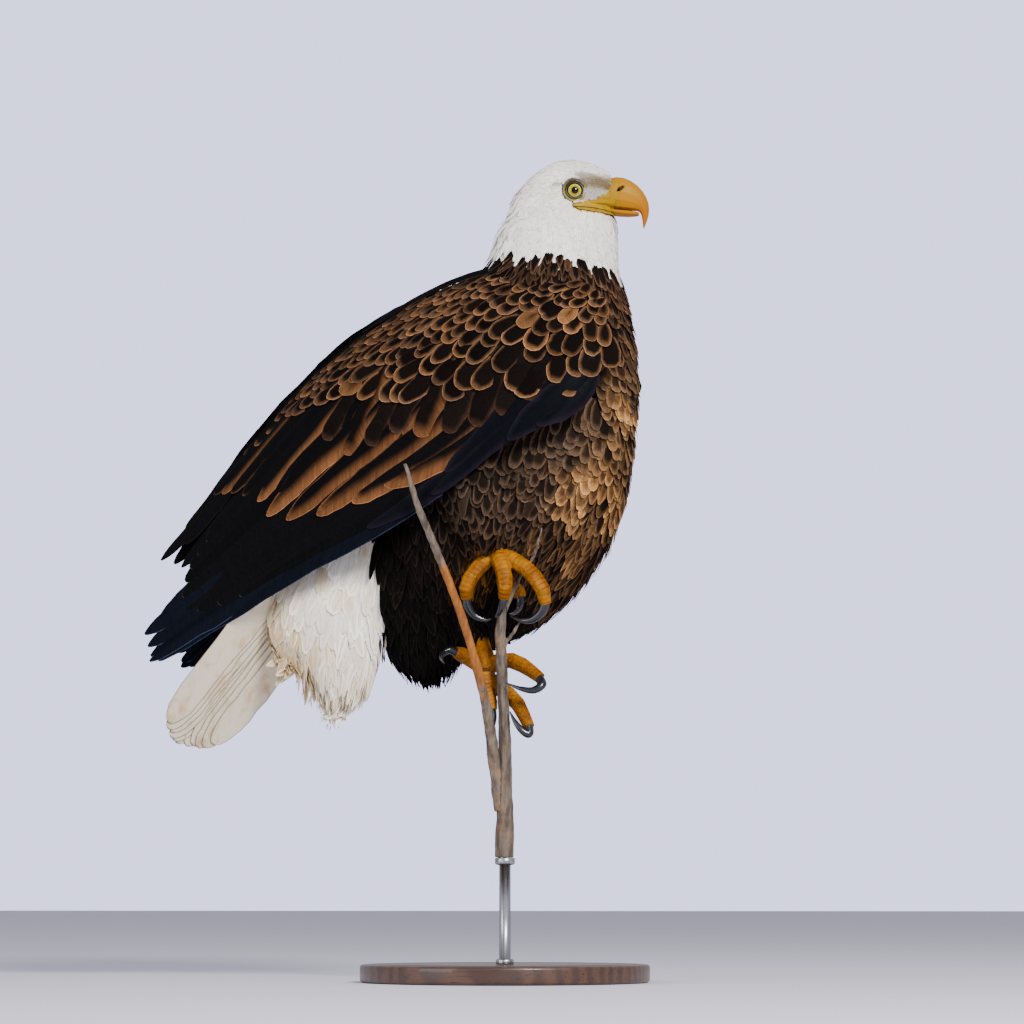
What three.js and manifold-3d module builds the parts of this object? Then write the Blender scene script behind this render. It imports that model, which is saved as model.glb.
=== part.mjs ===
// A bald eagle at life size, perched on a short forked stem that a plain display stand holds up.
// Millimetres, +Z up. The bird faces +X and its left side is +Y. The origin is the middle of the
// stand's underside, and the upright stem rises over it.
import * as THREE from "three";
import { mergeVertices } from "three/addons/utils/BufferGeometryUtils.js";
import Module from "manifold-3d";

const wasm = await Module();
wasm.setup();

// ---- Driving dimensions -------------------------------------------------------------------------
const GAP = 0.3; // clearance between neighbouring pieces
const SLIVER = 0.04; // joins and cuts leave no facets finer than this on a small piece
const BIG_SLIVER = 0.1; // and this on a big one
const BIG_PIECE = 5e4; // cubic millimetres
const SOFTEN = 0.3; // how far the facets of a joined body may be merged before it is carved
const BASE_RADIUS = 150;
const BASE_HEIGHT = 18;
const BASE_EDGE = 3; // chamfer on the base's rim
const ROD_RADIUS = 6;
const PERCH_FOOT = 128; // height of the sawn end of the perch
const HEAD_TURN = THREE.MathUtils.degToRad(15); // the head looks a little to the bird's left
const NECK = new THREE.Vector3(52, 0, 0); // the upright axis that the head turns on
const EYE_RADIUS = 11.5;
const EYE_FORWARD = 22.5;
const EYE_HEIGHT = 824.5;
const EYE_SIDE = 18.5;
const SOCKET_RADIUS = 13.5;
const SOCKET_SIDE = 34; // how far out the middle of the scoop round each eye lies
const TAIL_ROLL = THREE.MathUtils.degToRad(30); // the tail twists so that its left edge hangs lower
const TAIL_ROOT = new THREE.Vector3(-174, -8, 470);
const TAIL_TIP = new THREE.Vector3(-357, -12, 249);
const TAIL_SPREAD = 68; // between the outer feathers' middles at their tips
const FAR_WING_BACK = 14; // the left wing lies this much further back at the wrist

// ---- Finishes -----------------------------------------------------------------------------------
const finish = (color, roughness, metalness = 0) =>
  new THREE.MeshStandardMaterial({ color, roughness, metalness });
const white = finish("#ece8e2", 0.85);
const brown = finish("#2e2019", 0.8);
const covert = finish("#4a3526", 0.8);
const flight = finish("#17161a", 0.6);
const cream = finish("#e3d6bd", 0.8);
const billYellow = finish("#f0a81a", 0.35);
const cereYellow = finish("#e9c22a", 0.45);
const footYellow = finish("#d99a22", 0.6);
const talonBlack = finish("#15171b", 0.3);
const eyeFinish = finish("#d8cf6a", 0.1);
const bark = finish("#8a7a68", 0.9);
const baseWood = finish("#3a2a20", 0.5);
const steel = finish("#9a9ca0", 0.35, 1);

// ---- Geometry helpers ---------------------------------------------------------------------------
const vec = (x, y, z) => new THREE.Vector3(x, y, z);

// A value between rows of numbers, on a Catmull-Rom spline through them; t runs from 0 to 1.
function between(rows, t) {
  const last = rows.length - 1;
  const place = Math.min(Math.max(t, 0), 1) * last;
  const i = Math.min(Math.floor(place), last - 1);
  const f = place - i;
  const b = rows[i];
  const c = rows[i + 1];
  return b.map((p1, k) => {
    const p2 = c[k];
    const p0 = i > 0 ? rows[i - 1][k] : 2 * p1 - p2;
    const p3 = i < last - 1 ? rows[i + 2][k] : 2 * p2 - p1;
    const m1 = (p2 - p0) / 2;
    const m2 = (p3 - p1) / 2;
    const f2 = f * f;
    const f3 = f2 * f;
    return (
      (2 * f3 - 3 * f2 + 1) * p1 + (f3 - 2 * f2 + f) * m1 + (3 * f2 - 2 * f3) * p2 + (f3 - f2) * m2
    );
  });
}

// A closed solid through rings of points, each ring with the same number, with a cap at both ends.
function throughRings(rings) {
  const around = rings[0].length;
  const points = rings.flat();
  const middle = (ring) => ring.reduce((a, p) => a.add(p), vec(0, 0, 0)).divideScalar(around);
  points.push(middle(rings[0]), middle(rings.at(-1)));
  const faces = [];
  for (let i = 0; i < rings.length - 1; i++)
    for (let j = 0; j < around; j++) {
      const a = i * around + j;
      const b = i * around + ((j + 1) % around);
      faces.push(a, b, b + around, a, b + around, a + around);
    }
  const end = (rings.length - 1) * around;
  for (let j = 0; j < around; j++) {
    const next = (j + 1) % around;
    faces.push(next, j, points.length - 2, end + j, end + next, points.length - 1);
  }
  return closedSolid(points, faces);
}

// A manifold-3d solid from points and faces, turned the right way out.
function closedSolid(points, faces) {
  const geometry = new THREE.BufferGeometry().setFromPoints(points).setIndex(faces);
  return solidOf(geometry);
}

function solidOf(geometry) {
  geometry.deleteAttribute("normal");
  geometry.deleteAttribute("uv");
  const merged = mergeVertices(geometry, 1e-3);
  const place = merged.attributes.position.array;
  const corners = new Uint32Array(merged.index.array);
  const corner = (i) => vec(...place.subarray(3 * corners[i], 3 * corners[i] + 3));
  let volume = 0;
  for (let i = 0; i < corners.length; i += 3)
    volume += corner(i).dot(corner(i + 1).cross(corner(i + 2)));
  if (volume < 0)
    for (let i = 0; i < corners.length; i += 3)
      [corners[i], corners[i + 1]] = [corners[i + 1], corners[i]];
  return new wasm.Manifold(
    new wasm.Mesh({ numProp: 3, vertProperties: place, triVerts: corners }),
  );
}

// A body of oval slices. Each row is [x, y, z, tilt, turn, front, back, half width, pinch, ridge]: the
// slice's middle, how far its front end dips and turns, in degrees, and its reach to the front, back
// and sides. pinch flattens the right side of its front, and ridge narrows its back.
function slices(rows, count, around, grow = 0) {
  const rings = [];
  for (let i = 0; i <= count; i++) {
    const [x, y, z, tiltDeg, turnDeg, front, back, half, pinch, ridge] = between(rows, i / count);
    const tilt = THREE.MathUtils.degToRad(tiltDeg);
    const turn = THREE.MathUtils.degToRad(turnDeg);
    const ahead = vec(Math.cos(turn) * Math.cos(tilt), Math.sin(turn) * Math.cos(tilt), -Math.sin(tilt));
    const side = vec(-Math.sin(turn), Math.cos(turn), 0);
    const ring = [];
    for (let j = 0; j < around; j++) {
      const angle = (2 * Math.PI * j) / around;
      const c = Math.cos(angle);
      const s = Math.sin(angle);
      const squeeze = 1 - c * c * (c < 0 ? ridge : s < 0 ? pinch : 0);
      ring.push(
        vec(x, y, z)
          .addScaledVector(ahead, c * ((c > 0 ? front : back) + grow))
          .addScaledVector(side, s * (half * squeeze + grow)),
      );
    }
    rings.push(ring);
  }
  return throughRings(rings);
}

// A round bar along a curve through points, with one radius for each point.
function bar(points, radii, count, around, grow = 0) {
  const curve = new THREE.CatmullRomCurve3(points.map((p) => vec(...p)));
  const frames = curve.computeFrenetFrames(count, false);
  const rings = [];
  for (let i = 0; i <= count; i++) {
    const t = curve.getUtoTmapping(i / count);
    const radius = between(radii.map((r) => [r]), t)[0] + grow;
    const past = i === 0 ? -grow : i === count ? grow : 0;
    const middle = curve.getPoint(t).addScaledVector(frames.tangents[i], past);
    const ring = [];
    for (let j = 0; j < around; j++) {
      const angle = (2 * Math.PI * j) / around;
      ring.push(
        middle
          .clone()
          .addScaledVector(frames.normals[i], radius * Math.cos(angle))
          .addScaledVector(frames.binormals[i], radius * Math.sin(angle)),
      );
    }
    rings.push(ring);
  }
  return throughRings(rings);
}

// A feather's blade from root to tip, bowed towards the mid point: a flat lens in section, widest
// past the middle and drawn in to a rounded or pointed tip. across gives the direction of its width.
function blade(root, mid, tip, across, width, thick, sharp, count = 9) {
  const curve = new THREE.QuadraticBezierCurve3(root, mid, tip);
  const rings = [];
  for (let i = 0; i <= count; i++) {
    const t = Math.sin((Math.PI / 2) * (i / count));
    const ahead = curve.getTangent(t);
    const side = across.clone().addScaledVector(ahead, -across.dot(ahead)).normalize();
    const face = ahead.clone().cross(side);
    const half = (width / 2) * (0.55 + 0.45 * Math.sin(Math.min(t * 2.2, Math.PI / 2)))
      * Math.pow(Math.max(1 - Math.pow(t, sharp), 0.004), 0.6);
    const deep = (thick / 2) * (1 - 0.55 * t);
    const middle = curve.getPoint(t);
    rings.push(
      [[-1, 0.35], [0, 1], [1, 0.35], [1, -0.35], [0, -1], [-1, -0.35]].map(([s, d]) =>
        middle.clone().addScaledVector(side, s * half).addScaledVector(face, d * deep),
      ),
    );
  }
  return throughRings(rings);
}

const union = (solids) => solids.reduce((a, b) => a.add(b));
const largest = (solid) => solid.decompose().sort((a, b) => b.volume() - a.volume())[0];

// The part of a solid on the far side of a plane, which is normal · point = distance.
const beyond = (solid, normal, distance) => solid.trimByPlane(normal, distance);
const mirrored = (solid) => solid.mirror([0, 1, 0]);

const inHead = (forward, side, height) =>
  vec(forward, side, 0).applyAxisAngle(vec(0, 0, 1), HEAD_TURN).add(vec(NECK.x, NECK.y, height));

// ---- The pieces, each carved clear of the ones before it ----------------------------------------
const eagle = new THREE.Group();
const placed = [];

// make(grow) gives the piece's solid, and cutter(grow) the swollen one that carves later neighbours.
function place(name, material, make, cutter = make) {
  let solid = make(0);
  for (const other of placed) solid = solid.subtract(other.cutter);
  solid = largest(solid);
  solid = solid.simplify(solid.volume() > BIG_PIECE ? BIG_SLIVER : SLIVER);
  placed.push({ name, cutter: cutter(GAP) });
  const cut = solid.getMesh();
  const geometry = new THREE.BufferGeometry()
    .setAttribute("position", new THREE.BufferAttribute(new Float32Array(cut.vertProperties), 3))
    .setIndex(new THREE.BufferAttribute(new Uint32Array(cut.triVerts), 1));
  geometry.computeVertexNormals();
  const mesh = new THREE.Mesh(geometry, material);
  mesh.name = name;
  eagle.add(mesh);
}

// ---- Stand and perch ----------------------------------------------------------------------------
function standBase(grow) {
  const r = BASE_RADIUS + grow;
  const profile = [[0, -grow], [r - BASE_EDGE, -grow], [r, BASE_EDGE], [r, BASE_HEIGHT - BASE_EDGE],
    [r - BASE_EDGE, BASE_HEIGHT + grow], [0, BASE_HEIGHT + grow]];
  const lathe = new THREE.LatheGeometry(profile.map(([x, y]) => new THREE.Vector2(x, y)), 36);
  return solidOf(lathe.rotateX(Math.PI / 2));
}

const rodSolid = (grow) =>
  bar([[0, 0, BASE_HEIGHT + GAP], [0, 0, 70], [0, 0, PERCH_FOOT - GAP]],
    [ROD_RADIUS, ROD_RADIUS, ROD_RADIUS], 2, 14, grow);

// The upright stem leans a little to the right as it rises, and a short spur leaves it near the top.
const stemSolid = (grow) =>
  union([
    bar([[-1, 0, PERCH_FOOT], [0, -1, 155], [2, -8, 198], [4, -17, 259], [4, -25, 310],
      [4, -34, 368], [7, -36, 386]], [10.5, 10, 8.4, 6.6, 6.2, 6, 4.6], 9, 8, grow),
    bar([[5, -31, 340], [11, -34, 350], [19, -38, 358], [27, -39, 370]], [2.6, 2.6, 2.2, 1.4], 3, 5, grow),
  ]);

const sideStemSolid = (grow) =>
  bar([[-3, -6, 176], [-6, -18, 223], [-9, -38, 279], [-13, -50, 310], [-25, -72, 370], [-42, -98, 430],
    [-64, -127, 499], [-69, -135, 526]], [7.4, 6.9, 5.7, 5, 4.7, 4.5, 3.6, 2], 9, 7, grow);

const twigSolid = (grow) =>
  bar([[8, -35, 378], [11, -35, 384], [19, -38, 401], [28, -42, 417], [41, -47, 431], [49, -54, 447],
    [55, -58, 465]], [2.6, 2.6, 2.3, 2.2, 2.2, 2, 1.2], 7, 5, grow);

// ---- Head ---------------------------------------------------------------------------------------
// Rows of [forward, middle height, up, down, half width], from the bill back to the nape.
const HEAD_ROWS = [
  [61, 823, 24, 20, 13.5],
  [54, 823, 29, 25, 19],
  [41, 824, 33.2, 28, 25],
  [26, 825, 35.8, 35, 29.5],
  [7, 823, 37, 40, 32],
  [-10.5, 819, 32, 40, 32],
  [-27, 812, 24.5, 30, 27],
  [-40, 804, 13, 16, 16],
];

function headSolid(grow) {
  const rings = [];
  const count = 12;
  const around = 16;
  for (let i = 0; i <= count; i++) {
    const [forward, height, up, down, half] = between(HEAD_ROWS, i / count);
    const ring = [];
    for (let j = 0; j < around; j++) {
      const angle = (2 * Math.PI * j) / around;
      const rise = Math.cos(angle) * ((Math.cos(angle) > 0 ? up : down) + grow);
      ring.push(inHead(forward, Math.sin(angle) * (half + grow), height + rise));
    }
    rings.push(ring);
  }
  return throughRings(rings);
}

// The ridge of bare skin and feathers over each eye, which gives the stern look.
const brow = (side) =>
  bar([[50, 17 * side, 837], [40, 22.5 * side, 837], [26, 27 * side, 837.5], [8, 28 * side, 834]]
    .map(([f, s, h]) => inHead(f, s, h).toArray()), [2, 4.4, 4.6, 2.5], 4, 5);

// The scoop in the head's side that each eye sits in.
function socket(side) {
  const scoop = new THREE.SphereGeometry(SOCKET_RADIUS, 12, 6);
  const at = inHead(EYE_FORWARD, SOCKET_SIDE * side, EYE_HEIGHT);
  return solidOf(scoop.translate(at.x, at.y, at.z));
}

const eyeSolid = (side) => (grow) => {
  const ball = new THREE.SphereGeometry(EYE_RADIUS + grow, 10, 6);
  const at = inHead(EYE_FORWARD, EYE_SIDE * side, EYE_HEIGHT);
  return solidOf(ball.translate(at.x, at.y, at.z));
};

// The bill: rows of [top forward, top height, bottom forward, bottom height, half width].
const UPPER_ROWS = [
  [61.5, 843, 61.5, 809.5, 13.2],
  [72, 844, 71.5, 808.5, 12],
  [83.5, 839.5, 81, 808, 10.4],
  [93.5, 831, 89, 807.5, 8.4],
  [99.8, 820.5, 92.3, 806, 6.4],
  [102, 811, 93.8, 803, 4.8],
  [101, 800.5, 94.8, 798, 3.2],
  [96.3, 788, 95.8, 789, 0.7],
];
const LOWER_ROWS = [
  [62, 808.8, 62, 803.5, 11.2],
  [74, 807.8, 74, 801.8, 9.6],
  [85, 807.2, 84.5, 801.6, 7.2],
  [91.6, 805.6, 91, 802.2, 4.4],
];

function billSolid(rows, count, grow) {
  const rings = [];
  const around = 12;
  for (let i = 0; i <= count; i++) {
    const [topForward, top, bottomForward, bottom, half] = between(rows, i / count);
    const middle = [(topForward + bottomForward) / 2, (top + bottom) / 2];
    const rise = [(topForward - bottomForward) / 2, (top - bottom) / 2];
    const ring = [];
    for (let j = 0; j < around; j++) {
      const angle = (2 * Math.PI * j) / around;
      const c = Math.cos(angle);
      const s = Math.sign(Math.sin(angle)) * Math.pow(Math.abs(Math.sin(angle)), 0.8);
      ring.push(inHead(middle[0] + rise[0] * c, s * (half + grow), middle[1] + rise[1] * c));
    }
    rings.push(ring);
  }
  return throughRings(rings);
}

const CERE_END = 70; // how far forward the cere reaches on the bill
const headAhead = [Math.cos(HEAD_TURN), Math.sin(HEAD_TURN), 0];
const pivotAhead = NECK.x * headAhead[0];
const upperBill = (grow) => billSolid(UPPER_ROWS, 11, grow);
const cereCap = (grow) =>
  beyond(upperBill(grow), headAhead.map((n) => -n), -(pivotAhead + CERE_END + grow));

// The bare strip that runs back from the cere along each side of the mouth to below the eye.
const gape = (side, grow) =>
  bar([[64, 9, 813], [54, 16, 814], [44, 21.5, 812.5], [31, 26.5, 810], [19, 28.5, 809]]
    .map(([f, s, h]) => inHead(f, s * side, h).toArray()), [3.4, 3.8, 3.4, 2.2, 1], 5, 5, grow);
const cereSolid = (grow) => union([cereCap(grow), gape(1, grow), gape(-1, grow)]);
const hornSolid = (grow) => beyond(upperBill(grow), headAhead, pivotAhead + CERE_END + GAP - grow);
const lowerBill = (grow) => billSolid(LOWER_ROWS, 4, grow);

// ---- Neck, trunk and thighs ---------------------------------------------------------------------
const BODY_ROWS = [
  [51, 0, 822, -6, 15, 34, 34, 26, 0, 0],
  [55, 0, 803, -4, 15, 58, 46, 39, 0, 0],
  [57, 0, 788, -2, 15, 63, 59, 46, 0, 0],
  [56, 0, 768, 0, 13, 63, 64, 52, 0, 0],
  [54, 0, 745, 3, 9, 66, 68, 60, 0, 0.1],
  [47, 0, 710, 8, 4, 82, 90, 76, 0, 0.3],
  [27, 0, 660, 15, 0, 115, 122, 87, 0, 0.4],
  [0, 0, 597, 22, 0, 142, 146, 91, 0, 0.4],
  [-30, 5, 540, 29, 0, 161, 148, 91, 0.3, 0.4],
  [-65, 16, 480, 36, 0, 148, 125, 84, 0.75, 0.3],
  [-103, 18, 427, 42, 0, 110, 98, 68, 0.75, 0.2],
  [-134, 8, 401, 45, 0, 60, 84, 46, 0.3, 0.1],
  [-156, 0, 392, 45, 0, 24, 50, 22, 0, 0],
];
const bodySolid = (grow) => slices(BODY_ROWS, 19, 18, grow);
const HEAD_CUT = 792; // height of the thin cut between head and neck
const NECK_CUT = 735; // height of the thin cut between neck and trunk
const headAndBody = (grow) =>
  union([bodySolid(grow), headSolid(grow), brow(1), brow(-1)])
    .subtract(socket(1))
    .subtract(socket(-1));
const wholeBody = headAndBody(0).simplify(SOFTEN);
const wholeCutter = headAndBody(SOFTEN + GAP);
const band = (solid, low, high) => beyond(beyond(solid, [0, 0, 1], low), [0, 0, -1], -high);
const headPiece = (grow) => beyond(grow ? wholeCutter : wholeBody, [0, 0, 1], HEAD_CUT + GAP - grow);
const neckPiece = (grow) => band(grow ? wholeCutter : wholeBody, NECK_CUT + GAP - grow, HEAD_CUT);
const trunkPiece = (grow) => beyond(grow ? wholeCutter : wholeBody, [0, 0, -1], -NECK_CUT);

// The feathered part of each leg, from the flank down to where the bare shank shows.
const nearThigh = (grow) =>
  bar([[-23, -50, 559], [-18, -54, 522], [-12, -55, 487], [-8, -53, 461], [-6, -50, 449]],
    [44, 46, 36, 21, 14], 7, 12, grow);
const farThigh = (grow) =>
  bar([[-86, 34, 503], [-73, 30, 443], [-55, 20, 393], [-36, 8, 364], [-27, 1, 352]],
    [50, 52, 38, 22, 13], 7, 12, grow);

// The loose feathers of the vent, which hang behind the legs.
const VENT_ROWS = [
  [-80, 14, 455, 0, 0, 20, 35, 24, 0, 0],
  [-88, 16, 410, 0, 0, 44, 46, 40, 0.3, 0],
  [-90, 16, 370, 0, 0, 46, 45, 38, 0.3, 0],
  [-89, 15, 347, 0, 0, 42, 41, 26, 0, 0],
  [-88, 14, 334, 0, 0, 26, 30, 14, 0, 0],
  [-88, 14, 328, 0, 0, 8, 8, 5, 0, 0],
];
const ventSolid = (grow) => slices(VENT_ROWS, 6, 12, grow);

// ---- Legs and feet ------------------------------------------------------------------------------
const nearShank = (grow) =>
  bar([[-8, -51, 456], [-5, -50, 450], [0, -47, 444], [6, -45, 436]], [9, 9, 10.5, 8], 4, 8, grow);
const farShank = (grow) =>
  bar([[-28, 2, 357], [-24, -1, 346], [-19, -8, 332], [-17, -10, 316]], [9, 9, 10.5, 9], 4, 8, grow);

// Each toe runs from the ball of the foot over the stem, and its talon hooks back to the stem.
const TOES = {
  right_inner: {
    toe: [[-4, -46, 438], [-19, -56, 419], [-26, -57, 405], [-27, -52, 394]],
    talon: [[-26.5, -53, 396], [-26, -52, 387], [-20, -49, 377], [-10, -46, 372], [-3, -43, 373]],
  },
  right_middle: {
    toe: [[4, -48, 442], [14, -60, 422], [17, -62, 407], [14, -56, 393]],
    talon: [[14.4, -57, 395], [12, -55, 387], [8, -51, 380], [4, -48, 376], [1, -44, 374]],
  },
  right_outer: {
    toe: [[12, -46, 438], [39, -56, 422], [55, -57, 402], [57, -51, 387]],
    talon: [[57, -52, 388], [52, -50, 378], [41, -47, 371], [29, -44, 371], [16, -40, 376]],
  },
  right_hind: {
    toe: [[1, -36, 433], [9, -22, 423], [18, -17, 411], [21, -18, 397]],
    talon: [[21, -18, 399.5], [21.3, -19, 391], [19, -22, 384], [16, -27, 380], [13, -31, 379]],
  },
  left_inner: {
    toe: [[-17, -11, 320], [-17, -12, 306], [-13, -14, 292], [-10, -16, 280]],
    talon: [[-10.2, -16, 282.5], [-8, -19, 274], [-7, -23, 267], [-6, -27, 262], [-4, -30, 260]],
  },
  left_middle: {
    toe: [[-17, -10, 314], [0, -7, 301], [15, -11, 289], [32, -22, 262]],
    talon: [[31, -21, 264], [32, -25, 255], [25, -28, 259], [18, -28, 268], [12.5, -27, 278]],
  },
  left_outer: {
    toe: [[-17, -10, 325], [2, -10, 333], [22, -15, 327], [45, -27, 312]],
    talon: [[43, -26, 312.7], [48, -32, 305], [40, -36, 299], [26, -37, 301], [11, -35, 307]],
  },
  left_hind: {
    toe: [[-20, -10, 325], [-33, -10, 333], [-41, -16, 338], [-47, -24, 341]],
    talon: [[-46.2, -22.5, 340.7], [-52, -28, 343], [-57, -33, 340], [-58, -39, 334], [-54, -42, 328]],
  },
};
const TOE_RADII = [9, 8.2, 8, 6];
const TALON_RADII = [5, 4.8, 3.8, 2.4, 0.6];

// ---- Tail and undertail -------------------------------------------------------------------------
function tailAxes() {
  const ahead = TAIL_TIP.clone().sub(TAIL_ROOT).normalize();
  const across = vec(-ahead.z, 0, ahead.x).multiplyScalar(Math.sin(TAIL_ROLL))
    .add(vec(0, Math.cos(TAIL_ROLL), 0));
  return { ahead, across, face: ahead.clone().cross(across) };
}

function tailSolid() {
  const { ahead, across, face } = tailAxes();
  const feathers = 6;
  const parts = [];
  for (let i = 0; i < feathers; i++) {
    const s = (2 * i) / (feathers - 1) - 1;
    const root = TAIL_ROOT.clone().addScaledVector(across, s * 17);
    const tip = TAIL_TIP.clone().addScaledVector(across, (s * TAIL_SPREAD) / 2)
      .addScaledVector(ahead, -18 * s * s).addScaledVector(face, 3 * s * s);
    const mid = root.clone().lerp(tip, 0.5).addScaledVector(across, s * 10);
    parts.push(blade(root, mid, tip, across, 42, 9, 9, 4));
  }
  return union(parts).simplify(SOFTEN);
}

// A plain wedge round the tail, which carves its bed in the feathers beside it.
const tailBed = (grow) =>
  blade(TAIL_ROOT.clone().lerp(TAIL_TIP, -0.1), TAIL_ROOT.clone().lerp(TAIL_TIP, 0.5),
    TAIL_ROOT.clone().lerp(TAIL_TIP, 1.1), tailAxes().across, TAIL_SPREAD + 60 + 2 * grow,
    30 + 2 * grow, 20, 3);

// The loose white feathers under the tail's root, which end in a ragged fringe.
const UNDERTAIL_ROWS = [
  [-150, -4, 486, 0, 0, 16, 14, 20, 0, 0],
  [-168, -8, 450, 10, 0, 38, 44, 30, 0, 0],
  [-187, -12, 411, 12, 0, 58, 60, 36, 0, 0],
  [-192, -14, 378, 6, 0, 61, 62, 36, 0, 0],
  [-190, -14, 352, 0, 0, 57, 60, 30, 0, 0],
  [-178, -14, 333, 0, 0, 44, 36, 24, 0, 0],
  [-174, -14, 310, 0, 0, 22, 20, 15, 0, 0],
  [-178, -14, 293, 0, 0, 6, 8, 5, 0, 0],
];
const undertail = (grow) => slices(UNDERTAIL_ROWS, 10, 12, grow);

// ---- Wings --------------------------------------------------------------------------------------
// Rows of [top x, top side, top z, bottom x, bottom side, bottom z, bulge, depth] from the wrist back:
// the folded wing's two edges, how far it bows out between them, and how deep its feathers lie.
const WING_ROWS = [
  [126, 58, 706, 137, 78, 645, 5, 14],
  [82, 50, 733, 107, 100, 590, 22, 32],
  [5, 38, 742, 46, 112, 557, 34, 46],
  [-74, 16, 726, -39, 112, 500, 38, 50],
  [-157, 1.5, 685, -120, 98, 465, 36, 46],
  [-221, 1, 634, -199, 80, 434, 27, 34],
  [-283, 2, 567, -271, 62, 399, 15, 20],
  [-326, 8, 512, -326, 50, 372, 8, 10],
];
// Feather tips past the wing's end: [x, side, z, width].
const TIP_ROWS = [
  [-383, 14, 447, 34],
  [-351, 26, 440, 46],
  [-384, 40, 366, 40],
  [-375, 46, 336, 38],
  [-330, 54, 352, 34],
];

function wingShell(rows, grow) {
  const rings = [];
  const count = 14;
  const steps = 5;
  for (let i = 0; i <= count; i++) {
    const [ax, ay, az, bx, by, bz, bulge, depth] = between(rows, i / count);
    const top = vec(ax, ay, az);
    const bottom = vec(bx, by, bz);
    const margin = bottom.clone().sub(top).setLength(grow);
    top.sub(margin);
    bottom.add(margin);
    const chord = bottom.clone().sub(top);
    const out = vec(0, -chord.z, chord.y).normalize();
    const arc = (t, reach) => top.clone().addScaledVector(chord, t)
      .addScaledVector(out, reach * Math.sin(Math.PI * Math.pow(t, 0.85)));
    const ring = [];
    for (let j = 0; j <= steps; j++) ring.push(arc(j / steps, bulge + grow));
    for (let j = steps - 1; j > 0; j--) ring.push(arc(j / steps, bulge - depth - grow));
    rings.push(ring);
  }
  return throughRings(rings);
}

// The left wing, and the right one as its mirror, each whole before it is parted.
function wingWhole(back, grow, tips) {
  const shift = (row, i) => {
    const moved = [...row];
    const share = back * Math.max(0, 1 - i / 4);
    moved[0] -= share;
    moved[3] -= share;
    return moved;
  };
  const rows = WING_ROWS.map(shift);
  if (!tips) return wingShell(rows, grow);
  const end = rows.at(-1);
  const top = vec(end[0], end[1], end[2]);
  const bottom = vec(end[3], end[4], end[5]);
  const blades = TIP_ROWS.map(([x, y, z, width], i) => {
    const tip = vec(x, y, z);
    const back1 = top.clone().lerp(bottom, (i + 0.5) / TIP_ROWS.length);
    const root = back1.clone().lerp(tip, -0.5).addScaledVector(vec(0, 1, 0), -1);
    const mid = back1.clone().lerp(tip, 0.1);
    return blade(root, mid, tip, vec(0.3, 0.12, 1).normalize(), width + 2 * grow, 6 + 2 * grow, 3, 4);
  });
  return wingShell(rows, grow).add(union(blades).simplify(SOFTEN));
}

const WING_CUT = [0.267, 0, -0.9637]; // normal of the thin cut between coverts and flight feathers
const WING_CUT_AT = -592;
const leftWing = (grow, tips) => wingWhole(FAR_WING_BACK, grow, tips);
const rightWing = (grow, tips) => mirrored(wingWhole(0, grow, tips));
const coverts = (wing) => (grow) =>
  beyond(wing(grow, false), WING_CUT.map((n) => -n), -(WING_CUT_AT + grow));
const flightFeathers = (wing, tips) => (grow) =>
  beyond(wing(grow, tips), WING_CUT, WING_CUT_AT + GAP - grow);

// ---- Assembly -----------------------------------------------------------------------------------
place("stand_base", baseWood, standBase);
place("stand_rod", steel, rodSolid);
place("perch_stem", bark, stemSolid);
place("perch_side_stem", bark, sideStemSolid);
place("perch_twig", bark, twigSolid);
for (const [side, word] of [[-1, "right"], [1, "left"]]) place("eye_" + word, eyeFinish, eyeSolid(side));
place("cere", cereYellow, cereSolid);
place("bill_upper", billYellow, hornSolid);
place("bill_lower", billYellow, lowerBill);
place("shank_right", footYellow, nearShank);
place("shank_left", footYellow, farShank);
for (const [name, { toe, talon }] of Object.entries(TOES)) {
  place("toe_" + name, footYellow, (grow) => bar(toe, TOE_RADII, 5, 8, grow));
  place("talon_" + name, talonBlack, (grow) => bar(talon, TALON_RADII, 6, 5, grow));
}
place("thigh_right", brown, nearThigh);
place("thigh_left", brown, farThigh);
place("head", white, headPiece);
place("neck", white, neckPiece);
place("trunk", brown, trunkPiece);
place("vent", brown, ventSolid);
for (const [word, wing] of [["right", rightWing], ["left", leftWing]]) {
  place("wing_coverts_" + word, covert, coverts(wing));
  place("wing_flight_" + word, flight, flightFeathers(wing, true), flightFeathers(wing, false));
}
place("tail", cream, tailSolid, tailBed);
place("undertail", white, undertail);

export default eagle;
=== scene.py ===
# %% [markdown]
# # A bald eagle on its perch
# The solids of the bird, its branch and its stand arrive as a fixed frame in metres. This lesson
# dresses them: a seamless skin under the plumage, thousands of thin closed vanes that lie as the
# coat of the living bird does, a glossy eye, a horny bill, scaled feet, bark and a plain stand.

# %% Load the frame
import math

import bmesh
import bpy
import numpy as np
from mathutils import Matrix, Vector


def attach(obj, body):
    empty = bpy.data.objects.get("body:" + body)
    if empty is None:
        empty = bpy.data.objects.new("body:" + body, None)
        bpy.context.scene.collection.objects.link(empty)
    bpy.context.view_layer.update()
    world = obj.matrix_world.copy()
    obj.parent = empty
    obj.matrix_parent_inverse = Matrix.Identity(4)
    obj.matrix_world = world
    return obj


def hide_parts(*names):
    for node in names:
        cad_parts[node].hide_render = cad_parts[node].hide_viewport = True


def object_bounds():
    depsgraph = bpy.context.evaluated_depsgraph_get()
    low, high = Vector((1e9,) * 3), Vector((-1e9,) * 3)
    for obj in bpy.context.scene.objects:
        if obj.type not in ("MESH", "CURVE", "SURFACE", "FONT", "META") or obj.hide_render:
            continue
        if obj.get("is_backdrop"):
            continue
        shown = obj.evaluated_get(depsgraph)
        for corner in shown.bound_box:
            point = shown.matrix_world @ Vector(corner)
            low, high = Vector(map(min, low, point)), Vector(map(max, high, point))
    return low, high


MM = 0.001
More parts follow.
